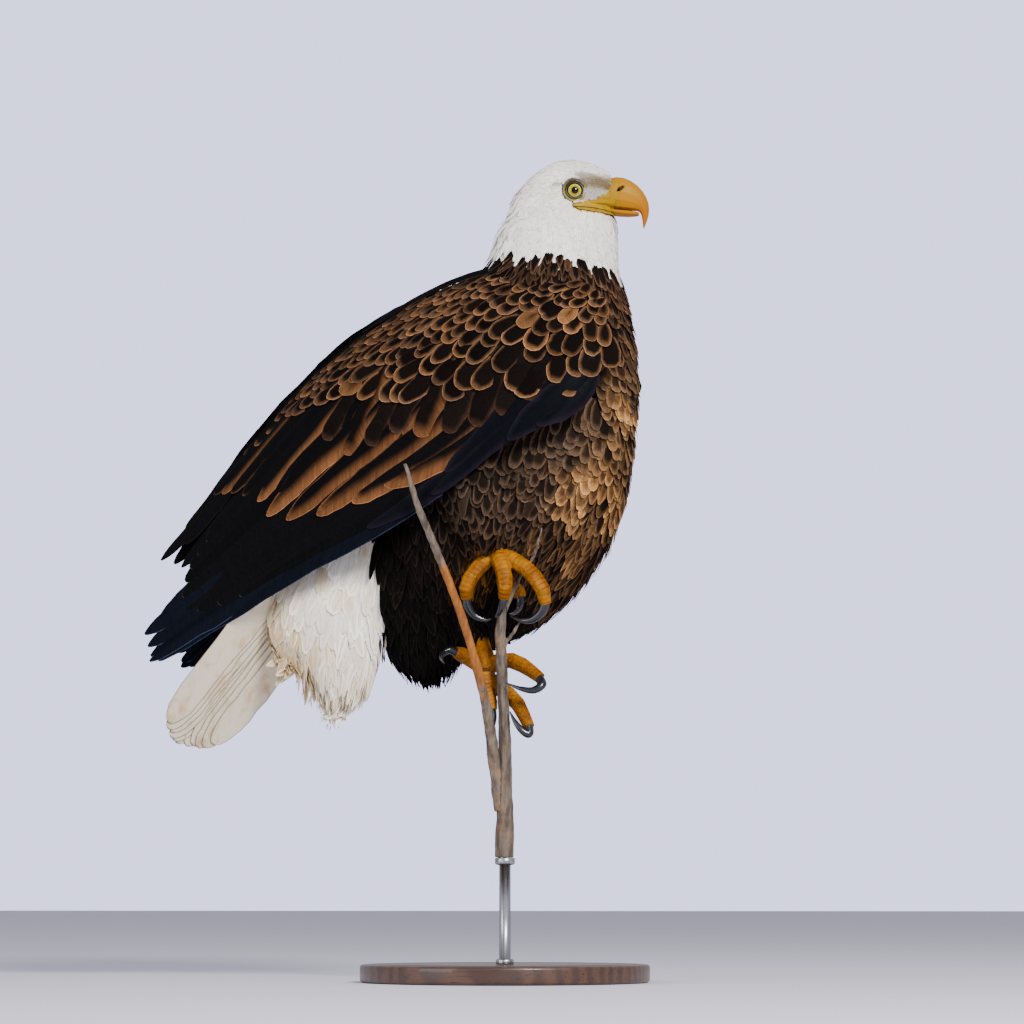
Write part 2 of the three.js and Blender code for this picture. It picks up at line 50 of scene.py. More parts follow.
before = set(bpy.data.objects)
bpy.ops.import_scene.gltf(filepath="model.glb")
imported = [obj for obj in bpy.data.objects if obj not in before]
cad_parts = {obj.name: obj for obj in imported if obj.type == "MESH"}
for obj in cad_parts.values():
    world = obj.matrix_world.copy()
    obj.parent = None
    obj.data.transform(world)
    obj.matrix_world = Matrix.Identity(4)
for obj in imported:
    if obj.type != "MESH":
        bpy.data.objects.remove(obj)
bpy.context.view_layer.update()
SEED = 20
rng = np.random.default_rng(SEED)

# %% [markdown]
# The camera stands low, in front and to the bird's right, and looks a little up at it through a
# long lens. It could be keyed by hand in the viewport; two points and a focal length say the same
# thing in three lines, and stay readable.

# %% Camera
CAMERA_PLACE = (0.93286, -3.45308, 0.08147)
CAMERA_AIM = (0.0071, 0.0019, 0.489)
CAMERA_LENS = 120.54
SENSOR = 36.0


def looking(place, aim):
    """The rotation whose -Z runs from place to aim and whose Y is as upright as it can be."""
    return (Vector(aim) - Vector(place)).to_track_quat("-Z", "Y").to_euler()


lens = bpy.data.cameras.new("camera")
lens.lens = CAMERA_LENS
lens.sensor_width = SENSOR
lens.dof.use_dof = False
camera = bpy.data.objects.new("camera", lens)
camera.location = CAMERA_PLACE
camera.rotation_euler = looking(CAMERA_PLACE, CAMERA_AIM)
bpy.context.scene.collection.objects.link(camera)
bpy.context.scene.camera = camera
print("lens", CAMERA_LENS, "mm")

# %% [markdown]
# Every new shape here is a table of points worked out at once. A few small helpers do the shared
# arithmetic: unit vectors, a smooth curve through a table of rows, a soft step, and a ripple that
# stands in for chance but comes out the same each time.


# %% Arithmetic on whole arrays
def unit(v):
    """Each vector divided by its own length."""
    return v / np.maximum(np.linalg.norm(v, axis=-1, keepdims=True), 1e-12)


def between(rows, t):
    """A Catmull-Rom spline through the rows: t = 0 is the first row and t = 1 the last."""
    rows = np.asarray(rows, float)
    last = len(rows) - 1
    place = np.clip(np.asarray(t, float), 0, 1) * last
    i = np.minimum(place.astype(int), last - 1)
    f = (place - i)[..., None]
    b, c = rows[i], rows[i + 1]
    a = np.where((i > 0)[..., None], rows[np.maximum(i - 1, 0)], 2 * b - c)
    d = np.where((i < last - 1)[..., None], rows[np.minimum(i + 2, last)], 2 * c - b)
    return b + f / 2 * (c - a + f * (2 * a - 5 * b + 4 * c - d + f * (3 * b - a - 3 * c + d)))


def soft_step(low, high, x):
    """0 below low, 1 above high, and 3t² - 2t³ between."""
    t = np.clip((x - low) / (high - low), 0, 1)
    return t * t * (3 - 2 * t)


def ripple(points, size, seed=0, waves=7):
    """A sum of sine waves in chance directions, about -1 to 1, with bumps about size across."""
    chance = np.random.default_rng(seed)
    ways = unit(chance.normal(size=(waves, 3))) * chance.uniform(0.6, 1.6, (waves, 1)) * 2 / size
    turns = points @ ways.T * math.pi / 2 + chance.uniform(0, 2 * math.pi, waves)
    return np.sin(turns).sum(-1) / math.sqrt(waves)


def towards(first, second, share):
    """first where share is 0, second where it is 1, and their mix between."""
    return first * (1 - share) + second * share


# a screen's curve: straight below the knee, and a power above it
KNEE, SLOPE, OFFSET, POWER = 0.04045, 12.92, 0.055, 2.4


def paint(code):
    """A hex colour as linear red, green and blue."""
    raw = np.array([int(code[i:i + 2], 16) for i in (1, 3, 5)]) / 255
    return np.where(raw <= KNEE, raw / SLOPE, ((raw + OFFSET) / (1 + OFFSET)) ** POWER)


print("spline check", between([[0], [1], [0]], 0.5))

# %% [markdown]
# A mesh from arrays needs its points, its faces, and whatever the material reads: one value or
# colour at each point. Python's lists would crawl over half a million corners, so `foreach_set`
# hands each array over whole. Faces are turned outwards by the sign of the volume they enclose.


# %% Mesh from arrays
def sheet(index):
    """The quads of a grid of point numbers, row by row."""
    return np.stack([index[:-1, :-1], index[1:, :-1], index[1:, 1:], index[:-1, 1:]],
                    -1).reshape(-1, 4)


def tube(rings):
    """Rings of points joined up: the points in metres, the quads between rings and the two caps."""
    count, around = rings.shape[:2]
    index = np.arange(count * around).reshape(count, around)
    quads = sheet(np.c_[index, index[:, :1]])
    return rings.reshape(-1, 3) * MM, quads, np.stack([index[0], index[-1][::-1]])


def enclosed(points, faces):
    """Six times the volume inside triangles fanned from each face's first corner."""
    total = 0.0
    for block in faces:
        for k in range(1, block.shape[1] - 1):
            a, b, c = points[block[:, 0]], points[block[:, k]], points[block[:, k + 1]]
            total += np.einsum("ij,ij->", a, np.cross(b, c))
    return total


def piece(name, points, faces, finish, maps=None, values=None, stands_for=(), slot=None,
          crease=None):
    """A named mesh that rides on the body. maps are UV maps and values attributes, by point.

    Shading is smooth, except across edges that bend by more than the crease angle in degrees."""
    faces = [np.asarray(block, np.int32) for block in faces if len(block)]
    if enclosed(points, faces) < 0:
        faces = [block[:, ::-1] for block in faces]
    corners = np.concatenate([block.ravel() for block in faces])
    sizes = np.concatenate([np.full(len(block), block.shape[1]) for block in faces])
    mesh = bpy.data.meshes.new(name)
    mesh.vertices.add(len(points))
    mesh.vertices.foreach_set("co", np.ascontiguousarray(points, np.float32).ravel())
    mesh.loops.add(len(corners))
    mesh.loops.foreach_set("vertex_index", corners)
    mesh.polygons.add(len(sizes))
    mesh.polygons.foreach_set("loop_start", np.r_[0, np.cumsum(sizes)[:-1]].astype(np.int32))
    mesh.polygons.foreach_set("use_smooth", np.ones(len(sizes), bool))
    for key, uv in (maps or {}).items():
        layer = mesh.uv_layers.new(name=key)
        layer.data.foreach_set("uv", np.ascontiguousarray(uv[corners], np.float32).ravel())
    for key, value in (values or {}).items():
        wide = np.ndim(value) == 2
        layer = mesh.attributes.new(key, "FLOAT_COLOR" if wide else "FLOAT", "POINT")
        if wide:
            value = np.c_[value, np.ones(len(value))]
        layer.data.foreach_set("color" if wide else "value", np.asarray(value, np.float32).ravel())
    mesh.update(calc_edges=True)
    if crease:
        mesh.set_sharp_from_angle(angle=math.radians(crease))
    mesh.materials.append(finish)
    made = bpy.data.objects.new(name, mesh)
    bpy.context.scene.collection.objects.link(made)
    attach(made, "root")
    if stands_for:
        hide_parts(*stands_for)
    print(name, len(points), "points", int((sizes - 2).sum()), "triangles")
    return made


# %% [markdown]
# A material is arithmetic on sockets. Wiring every Math node by hand hides the sum being done, so
# a small class wraps one socket, and adding or multiplying two of them adds the node that does it.


# %% Shader arithmetic
MIX_COLOURS, MIX_RESULT = (6, 7), 2  # the colour sockets of a Mix node, going in and coming out


def feed(socket, value):
    """Links a field to the socket, or sets a constant on it."""
    if isinstance(value, Field):
        value.tree.links.new(value.socket, socket)
    else:
        socket.default_value = value


class Field:
    """A number, vector or colour inside one material."""

    def __init__(self, tree, socket):
        self.tree = tree
        self.socket = socket

    def node(self, kind, settings=None, **inputs):
        """A new node of that kind. Inputs go by name, or by number as i0, i1 and so on."""
        made = self.tree.nodes.new("ShaderNode" + kind)
        for key, value in (settings or {}).items():
            setattr(made, key, value)
        for key, value in inputs.items():
            numbered = key[0] == "i" and key[1:].isdigit()
            feed(made.inputs[int(key[1:]) if numbered else key.replace("_", " ")], value)
        return made

    def math(self, operation, other=0.0, third=0.0):
        """This number, another and perhaps a third in one Math node."""
        made = self.node("Math", {"operation": operation}, i0=self, i1=other, i2=third)
        return Field(self.tree, made.outputs[0])

    def __add__(self, other):
        return self.math("ADD", other)

    def __sub__(self, other):
        return self.math("SUBTRACT", other)

    def __mul__(self, other):
        return self.math("MULTIPLY", other)

    def __truediv__(self, other):
        return self.math("DIVIDE", other)

    def __rsub__(self, other):
        return self.math("MULTIPLY_ADD", -1.0, other)

    __radd__ = __add__
    __rmul__ = __mul__

    def step(self, low, high):
        """0 below low, 1 above high, smooth between."""
        made = self.node("MapRange", {"interpolation_type": "SMOOTHSTEP"},
                         Value=self, From_Min=low, From_Max=high)
        return Field(self.tree, made.outputs["Result"])

    def mix(self, first, second):
        """The first colour where this is 0 and the second where it is 1."""
        made = self.node("Mix", {"data_type": "RGBA"}, i0=self)
        for k, value in zip(MIX_COLOURS, (first, second)):
            feed(made.inputs[k], value if isinstance(value, Field) else (*value, 1.0))
        return Field(self.tree, made.outputs[MIX_RESULT])

    def tint(self, amount):
        """This colour with each channel multiplied by a number."""
        made = self.node("VectorMath", {"operation": "SCALE"}, i0=self, Scale=amount)
        return Field(self.tree, made.outputs[0])

    def noise(self, scale, detail=2.0, roughness=0.5, stretch=(1, 1, 1)):
        """Cloudy noise from 0 to 1 on this place, each axis stretched by its own factor."""
        place = self
        if stretch != (1, 1, 1):
            scaled = self.node("VectorMath", {"operation": "MULTIPLY"}, i0=self, i1=stretch)
            place = Field(self.tree, scaled.outputs[0])
        made = self.node("TexNoise", None, Vector=place, Scale=scale, Detail=detail,
                         Roughness=roughness)
        return Field(self.tree, made.outputs["Fac"])

    def cells(self, scale, feature="F1"):
        """How far this place is from the middle of its Voronoi cell, or from the cell's edge."""
        made = self.node("TexVoronoi", {"feature": feature}, Vector=self, Scale=scale)
        return Field(self.tree, made.outputs["Distance"])


def material(name):
    """A new material, its Principled shader and the object's own coordinates as a field."""
    made = bpy.data.materials.new(name)
    made.use_nodes = True
    tree = made.node_tree
    shader = tree.nodes["Principled BSDF"]
    place = tree.nodes.new("ShaderNodeTexCoord")
    return made, shader, Field(tree, place.outputs["Object"])


def reading(field, name, output="Fac"):
    """A field that reads the piece's own attribute."""
    made = field.node("Attribute", {"attribute_name": name})
    return Field(field.tree, made.outputs[output])


def finished(shader, colour, rough, height=None, strength=1.0, depth=0.0, **constants):
    """Colour and roughness, then a bump of that depth in metres; other sockets get constants."""
    feed(shader.inputs["Base Color"], colour)
    feed(shader.inputs["Roughness"], rough)
    for name, value in constants.items():
        shader.inputs[name.replace("_", " ")].default_value = value
    if height is not None:
        made = height.node("Bump", None, Height=height, Strength=strength, Distance=depth)
        feed(shader.inputs["Normal"], Field(height.tree, made.outputs["Normal"]))


print("shader arithmetic ready")

# %% [markdown]
# A feather's colour lies in three things: the dark or pale heart of the vane, the worn fringe along
# its rim, and the fine parallel barbs that run out from the shaft. Each vane carries its heart and
# fringe colours as attributes, with the distance to its rim and to its shaft in millimetres, so
# one material serves a whole coat and only gloss and the depth of the barbs change.


# %% Plumage
BARB_SLANT, BARB_SQUEEZE = 0.8, 0.08  # how barbs lean forwards, and how far noise runs along them
BARB_FRAY = 3.0  # millimetres by which the barbs fray the heart's border
EDGE_FRAY = 1.3  # and by which they fray the pale rim, worn and painted as a highlight


def plumage(name, rough, barbs, streak=0.3, level=0.06, wear_and_highlight=1.2):
    """Vanes with a heart, a fringe, a pale rim, a shaft and slanting barbs.

    Barbs run out and forwards from the shaft, so noise is drawn on (along - slant * shaft,
    squeeze * shaft): fine across the barbs and long down them. barbs is the bump's depth in millimetres, and
    wear_and_highlight the number by which the last half millimetre is paler than the fringe: partly
    wear, and partly a painted highlight along the rim."""
    made, shader, place = material(name)
    heart = reading(place, "heart", "Color")
    fringe = reading(place, "fringe", "Color")
    rim, shaft, along, band, chance = (reading(place, key) for key in (
        "rim", "shaft", "along", "band", "chance"))
    woven = place.node("CombineXYZ", None, X=along - shaft * BARB_SLANT, Y=shaft * BARB_SQUEEZE,
                       Z=chance)
    woven = Field(place.tree, woven.outputs[0])
    barb = woven.noise(1.1, 3.0, 0.6)
    broad = woven.noise(0.22, 2.0, 0.5)
    inner = (rim + (barb - 0.5) * BARB_FRAY) / band
    colour = inner.step(0.15, 1.35).mix(fringe, heart)
    # painted highlight: the last half millimetre is paler than the fringe, partly wear and partly light
    # caught along the rim
    edge = (rim + (barb - 0.5) * EDGE_FRAY).step(0.25, 0.95)
    colour = edge.mix(fringe.tint(wear_and_highlight), colour)
    colour = colour.tint((barb - 0.5) * streak * 2.6 + (broad - 0.5) * streak * 1.6 + 1.0)
    quill = shaft.step(0.1, 0.5)
    colour = quill.mix(colour.tint(0.7), colour)
    finished(shader, colour, (broad - 0.5) * 0.3 + rough, barb + quill * -0.6, 1.0, barbs * MM,
             Specular_IOR_Level=level)
    return made


soft_white = plumage("soft_white_plumage", 0.8, 0.14, streak=0.20, wear_and_highlight=0.9)
body_brown = plumage("body_plumage", 0.75, 0.25, streak=0.7, wear_and_highlight=1.45)
wing_dark = plumage("wing_plumage", 0.72, 0.15, streak=0.7, level=0.03, wear_and_highlight=2.6)
tail_white = plumage("tail_plumage", 0.75, 0.12, streak=0.14, wear_and_highlight=1.0)
print("four kinds of plumage")

# %% [markdown]
# The skin is one surface with no seam. Joining the solids and merging their walls by hand would be
# long work on facets, so a voxel remesh melts them together into even quads. Rounds of smoothing
# that shrink and then swell by as much wash the facets out and keep the volume.


# %% Melting solids into one surface
BLOCK = 400  # points compared with all the others at a time, to save memory


class Surface:
    """Even points with their quads and outward normals."""

    def __init__(self, points, quads):
        self.points = points
        self.quads = quads
        self.normals = self.find_normals()

    def find_normals(self):
        """At each point, the sum of its quads' diagonal cross products, made unit."""
        corner = self.points[self.quads]
        face = np.cross(corner[:, 2] - corner[:, 0], corner[:, 3] - corner[:, 1])
        total = [np.bincount(self.quads.ravel(), np.repeat(face[:, k], 4), len(self.points))
                 for k in range(3)]
        return unit(np.stack(total, -1))

    def smoothed(self, rounds, shrink=0.5, swell=-0.52):
        """Each point moves towards the mean of its neighbours, and then away from it by as much."""
        q = self.quads
        edges = np.concatenate([q[:, [k, (k + 1) % 4]] for k in range(4)])
        edges = np.unique(np.sort(edges, 1), axis=0)
        ends = np.concatenate([edges, edges[:, ::-1]])
        count = np.bincount(ends[:, 0], minlength=len(self.points))[:, None]
        points = self.points
        for amount in [shrink, swell] * rounds:
            mean = np.stack([np.bincount(ends[:, 0], points[ends[:, 1], k], len(points))
                             for k in range(3)], -1) / count
            points = points + amount * (mean - points)
        return Surface(points, q)

    def nearest(self, targets):
        """The index of the point nearest to each target, a block of targets at a time."""
        middle = self.points.mean(0)
        own = (self.points - middle).astype(np.float32)
        own_square = (own ** 2).sum(1)
        found = [(own_square - 2 * ((targets[i:i + BLOCK] - middle).astype(np.float32) @ own.T))
                 .argmin(1) for i in range(0, len(targets), BLOCK)]
        return np.concatenate(found)

    def foot(self, targets, height=0.0):
        """Each target dropped onto the surface near it and lifted by height, with its normal."""
        k = self.nearest(targets)
        normal = self.normals[k]
        off = ((targets - self.points[k]) * normal).sum(1, keepdims=True)
        return targets + normal * (height - off), normal


def melted(nodes, voxel, rounds, swell=0.0):
    """One surface from several solids: merged copies, grown by swell, remeshed at that voxel."""
    soup = bmesh.new()
    for name in nodes:
        soup.from_mesh(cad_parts[name].data)
    bmesh.ops.remove_doubles(soup, verts=soup.verts, dist=1e-6)
    soup.normal_update()
    if swell:
        for vertex in soup.verts:
            vertex.co += vertex.normal * swell
    mesh = bpy.data.meshes.new("soup")
    soup.to_mesh(mesh)
    soup.free()
    holder = bpy.data.objects.new("soup", mesh)
    bpy.context.scene.collection.objects.link(holder)
    remesh = holder.modifiers.new("remesh", "REMESH")
    remesh.mode = "VOXEL"
    remesh.voxel_size = voxel
    graph = bpy.context.evaluated_depsgraph_get()
    even = holder.evaluated_get(graph).to_mesh()
    points = np.empty(len(even.vertices) * 3, np.float32)
    even.vertices.foreach_get("co", points)
    corners = np.empty(len(even.loops), np.int32)
    even.loops.foreach_get("vertex_index", corners)
    holder.evaluated_get(graph).to_mesh_clear()
    bpy.data.objects.remove(holder)
    bpy.data.meshes.remove(mesh)
    surface = Surface(points.reshape(-1, 3).astype(float), corners.reshape(-1, 4))
    return biggest(surface).smoothed(rounds)


def biggest(surface):
    """The largest connected shell: the lowest label of each quad spreads until none change."""
    label = np.arange(len(surface.points))
    q = surface.quads
    while True:
        low = label[q].min(1)
        new = label.copy()
        np.minimum.at(new, q.ravel(), np.repeat(low, 4))
        new = new[new]
        if (new == label).all():
            break
        label = new
    keep = label == np.bincount(label).argmax()
    index = np.cumsum(keep) - 1
    return Surface(surface.points[keep], index[q[keep[q[:, 0]]]])


FLESH = ["head", "neck", "trunk", "vent", "thigh_left", "thigh_right", "undertail"]
WINGS = {"right": -1, "left": 1}
SKIN_VOXEL = 3.0 * MM
outline = melted(FLESH, SKIN_VOXEL, 4, 0.4 * MM)
print("body outline", len(outline.points), "points")

# %% [markdown]
# How the coat lies is a property of place: short and fine round the bill, long on the nape, broad
# on the breast, ragged on the thighs. A table of places says how it lies at each, and everywhere else
# the rows are blended by nearness. Real skins are mapped in the same way, tract by tract.

# %% Tables of the coat
HEAD_TURN = math.radians(15)
NECK_AXIS = np.array([52.0, 0.0, 0.0])


def in_head(forward, side, height):
    """Head measures in millimetres as a place: forward and side turn with the head."""
    c, s = math.cos(HEAD_TURN), math.sin(HEAD_TURN)
    return np.stack(np.broadcast_arrays(forward * c - side * s + NECK_AXIS[0],
                                        forward * s + side * c, height), -1).astype(float)


def head_way(forward, side, up):
    """A direction in head measures as a direction of the frame."""
    return in_head(forward, side, up) - NECK_AXIS


def head_frame(points):
    """The other way round: forward, side and height in the head's own measures, in millimetres."""
    c, s = math.cos(HEAD_TURN), math.sin(HEAD_TURN)
    x, y, z = (points / MM - NECK_AXIS).T
    return x * c + y * s, -x * s + y * c, z


# forward, side, height, reach, lie (forward, side, up), depth, spacing, long, wide
HEAD_PLACES = [
    (58, 0, 846, 12, -0.9, 0, 0.45, 1.6, 2.3, 8, 2.2),
    (57, 13, 826, 12, -0.95, 0.15, -0.1, 0.8, 2.0, 5, 1.8),
    (42, 20, 822, 13, -0.9, 0.3, -0.3, 0.9, 2.0, 5, 1.8),
    (28, 27, 843, 10, -1, 0.1, 0.0, 1.2, 2.2, 7, 2.1),
    (34, 25, 810, 12, -0.85, 0.2, -0.5, 1.4, 2.4, 8, 2.3),
    (8, 30, 824, 14, -0.9, 0.05, -0.45, 2.4, 2.6, 11, 2.8),
    (59, 6, 797, 11, 0.30, 0.05, -0.9, 2.6, 2.4, 13, 2.6),
    (34, 0, 860, 20, -1, 0, 0.1, 3.0, 2.8, 13, 3.0),
    (5, 0, 862, 24, -1, 0, -0.25, 3.8, 3.2, 18, 3.6),
    (5, 24, 798, 24, -0.5, 0.1, -0.85, 4.5, 3.4, 20, 3.8),
    (44, 14, 786, 22, -0.12, 0.1, -0.98, 4.5, 3.2, 19, 3.6),
    (-22, 0, 842, 24, -0.7, 0, -0.7, 5.0, 3.6, 26, 4.2),
    (-42, 0, 800, 30, -0.42, 0, -0.9, 7.0, 4.0, 36, 5.0),
    (-30, 26, 790, 26, -0.35, 0.1, -0.93, 6.5, 4.0, 32, 4.8),
    (0, 46, 762, 34, -0.12, 0.1, -0.98, 7.0, 4.2, 34, 5.4),
    (60, 20, 760, 34, 0.03, 0.05, -1, 6.5, 4.2, 30, 5.2),
    (-54, 0, 758, 34, -0.3, 0, -0.95, 7.5, 4.4, 38, 5.6),
]
# x, y, z, reach, lie (x, y, z), depth, spacing, long, wide, sharp, heart, fringe, band, pale share
BODY_PLACES = [
    (0, 0, 742, 40, -0.9, 0, -0.35, 5, 10, 40, 20, 0.2, "#0f0b09", "#3a281c", 2.5, 0.0),
    (-70, 0, 715, 60, -0.85, 0, -0.5, 5, 12, 46, 24, 0.2, "#0e0a09", "#35251b", 2.5, 0.0),
    (108, 10, 752, 32, 0.0, 0, -1, 7, 6, 34, 11, 0.7, "#241812", "#7a563a", 3.0, 0.06),
    (60, 60, 742, 34, -0.1, 0.1, -1, 6, 6, 34, 10, 0.8, "#1a110d", "#6d4e38", 3.0, 0.08),
    (135, 0, 700, 42, -0.05, 0, -1, 8, 7.5, 34, 14, 0.35, "#2c1e16", "#8c6443", 4.0, 0.18),
    (95, 62, 690, 40, -0.08, 0, -1, 6, 7.5, 34, 14, 0.35, "#231812", "#765540", 4.0, 0.10),
    (145, 0, 640, 44, -0.1, 0, -1, 9, 8, 34, 16, 0.2, "#35251b", "#94704c", 5.0, 0.2),
    (100, 75, 630, 44, -0.15, 0, -1, 8, 8, 32, 16, 0.15, "#34261d", "#78614d", 5.0, 0.05),
    (135, 0, 585, 44, -0.3, 0, -0.95, 9, 8, 34, 16, 0.3, "#32231a", "#9a744c", 5.0, 0.2),
    (80, 80, 575, 42, -0.35, 0, -0.93, 9, 8, 32, 16, 0.2, "#32251d", "#705a48", 5.0, 0.05),
    (105, 0, 540, 40, -0.45, 0, -0.9, 10, 8, 38, 15, 0.6, "#281b14", "#8f6840", 5.0, 0.18),
    (40, 75, 535, 42, -0.4, 0, -0.9, 10, 8, 36, 15, 0.4, "#2a1e18", "#6c5543", 4.0, 0.05),
    (70, 10, 490, 42, -0.5, 0, -0.87, 11, 8, 48, 12, 0.9, "#19110d", "#6b4c33", 3.5, 0.05),
    (-18, -92, 520, 34, -0.05, 0, -1, 10, 8.5, 38, 16, 0.45, "#261b15", "#64503f", 4.0, 0.05),
    (-12, -80, 482, 26, 0.0, 0, -1, 9, 7.5, 38, 13, 0.7, "#211610", "#694a30", 3.6, 0.08),
    (-8, -56, 452, 17, 0.0, 0, -1, 5, 4.5, 26, 6, 1.0, "#8a5316", "#d89a35", 3.0, 0.3),
    (-75, 60, 450, 45, 0.0, 0, -1, 10, 9, 48, 14, 0.8, "#120d0b", "#2a1e17", 2.6, 0.0),
    (-40, 20, 380, 30, 0.25, 0, -0.97, 8, 7, 40, 10, 0.95, "#100c0a", "#2c201a", 2.0, 0.02),
    (-26, 0, 358, 14, 0.2, 0, -1, 4, 5, 26, 6, 1.0, "#2a1b10", "#6e4c22", 2.0, 0.0),
    (-88, 14, 400, 36, 0.0, 0, -1, 10, 8.5, 58, 12, 0.95, "#0d0a09", "#1f1611", 1.8, 0.0),
    (-88, 14, 345, 26, 0.05, 0, -1, 9, 6.5, 48, 7, 1.0, "#0c0908", "#1d1510", 1.6, 0.0),
    (-20, 10, 470, 50, -0.2, 0, -0.98, 10, 9, 52, 14, 0.9, "#0f0b09", "#271c15", 2.4, 0.0),
]
UNDERTAIL_PLACES = [
    (-155, -8, 470, 24, -0.3, 0, -0.95, 5, 9, 50, 14, 0.3, "#e9e6df", "#f6f3ec", 4.0, 0.0),
    (-178, -12, 430, 34, -0.3, 0, -0.95, 7, 9, 66, 17, 0.4, "#ece3cf", "#f7f1e3", 4.0, 0.0),
    (-150, -40, 390, 30, -0.1, 0, -1, 8, 8, 70, 13, 0.7, "#f0eadd", "#fbf8f0", 4.0, 0.0),
    (-215, -30, 385, 30, -0.4, 0, -0.9, 7, 8, 66, 14, 0.6, "#dcc59a", "#ead9b8", 4.0, 0.0),
    (-170, -25, 375, 22, -0.15, 0, -1, 8, 7, 64, 11, 0.8, "#dcc191", "#ecd7ac", 4.0, 0.0),
    (-185, -20, 340, 28, -0.2, 0, -1, 8, 5.5, 58, 8, 0.9, "#eadcc0", "#f5efe2", 3.0, 0.0),
    (-145, -20, 340, 26, 0.05, 0, -1, 8, 5.5, 54, 8, 0.9, "#efe6d3", "#f7f2e8", 3.0, 0.0),
]
# the columns that blended() returns
LIE, DEPTH, SPACING, LONG, WIDE, SHARP = slice(0, 3), 3, 4, 5, 6, 7
HEART, FRINGE, BAND, PALE = slice(8, 11), slice(11, 14), 14, 15
MIRRORED_FROM = 40.0  # a row of the body further to the side than this holds for both sides
# x, z, reach across and up of the golden patches on the breast, seen from the side: tawny feathers,
# brightened as a painted highlight of the warm light there
GOLDEN_AND_LIT_PATCHES = np.array([(137, 606, 16, 36), (106, 520, 30, 32), (78, 464, 22, 22)], float)


def head_table():
    """Both sides of the head, in place: forward, side and lie are turned with the head."""
    rows = []
    for row in HEAD_PLACES:
        for side in ((1, -1) if row[1] else (1,)):
            at = in_head(row[0], row[1] * side, row[2])
            rows.append([*at, row[3], *head_way(row[4], row[5] * side, row[6]), *row[7:]])
    return np.array(rows)


def body_table(places):
    """Rows with their colours opened out, and off-centre ones repeated on the other side."""
    rows = []
    for row in places:
        for side in ((1, -1) if row[1] > MIRRORED_FROM else (1,)):
            rows.append([row[0], row[1] * side, *row[2:12], *paint(row[12]), *paint(row[13]),
                         row[14], row[15]])
    return np.array(rows)


def blended(table, points):
    """The rows of the table mixed at each point, each weighed by exp(-distance²/reach²)."""
    away = ((points[:, None] / MM - table[:, :3]) ** 2).sum(-1) / table[:, 3] ** 2
    weight = np.exp(-(away - away.min(1, keepdims=True)))
    weight /= weight.sum(1, keepdims=True)
    return weight @ table[:, 4:]


HEAD_TABLE = head_table()
BODY_TABLE = body_table(BODY_PLACES)
UNDERTAIL_TABLE = body_table(UNDERTAIL_PLACES)
HEAD, BODY, UNDERTAIL = 0, 1, 2  # the tracts: white head and neck, brown body, white under the tail
WHITE_TO, WHITE_SLOPE = 768.0, 0.30  # the white begins above this height, and lower in front
UNDERTAIL_TOP = 500.0
SLANT, UNDERTAIL_FROM = np.array([0.966, 0.259, 0.0]), -129.0  # its white lies behind this line
EASED, EASED_FROM, EASED_TO = 32 * MM, 345, 415  # and wins by this much more between these heights
white_solid = melted(["undertail"], SKIN_VOXEL, 2)
brown_solid = melted(["trunk", "vent", "thigh_left", "thigh_right"], SKIN_VOXEL, 2)


def tract(points, spare=0.0):
    """The tract of each point.

    Under the tail a point is white where it is nearer to the solid of the tail's coverts than to
    the trunk or the vent, with some to spare higher up, and behind a line across the body."""
    x, y, z = (points / MM).T
    ragged = 3 * ripple(points, 20 * MM, 3)
    white = z > WHITE_TO + ragged + 2 * spare / MM - WHITE_SLOPE * np.maximum(x - 50, 0)
    under = (points @ SLANT / MM < UNDERTAIL_FROM) & (z < UNDERTAIL_TOP)
    near = points[under]
    away = [np.linalg.norm(near - solid.points[solid.nearest(near)], axis=1)
            for solid in (white_solid, brown_solid)]
    under[under] = away[0] < away[1] + spare + EASED * soft_step(EASED_FROM, EASED_TO, z[under])
    return np.where(white, HEAD, np.where(under, UNDERTAIL, BODY))


print("places on the coat", len(HEAD_TABLE) + len(BODY_TABLE) + len(UNDERTAIL_TABLE))


# %% [markdown]
# Feathers grow from evenly scattered roots. Plain chance leaves holes and heaps; throwing many
# darts and keeping only those that stand far enough from the ones before gives the even but
# unregimented spread of a real tract.


# %% Scattering roots
class Roots:
    """Chance places on a surface's quads, each with the weights of its quad's four corners."""

    def __init__(self, surface, quads, a, b):
        self.surface = surface
        self.corners = surface.quads[quads]
        self.shares = np.stack([(1 - a) * (1 - b), a * (1 - b), a * b, (1 - a) * b], 1)
        self.points = self.take(surface.points)
        self.normals = unit(self.take(surface.normals))

    def take(self, values):
        """Values at the surface's points, mixed at each root."""
        return np.einsum("nk,nk...->n...", self.shares, values[self.corners])

    def only(self, chosen):
        """The same roots, fewer of them."""
        self.corners, self.shares = self.corners[chosen], self.shares[chosen]
        self.points, self.normals = self.points[chosen], self.normals[chosen]
        return self

    def __len__(self):
        return len(self.points)


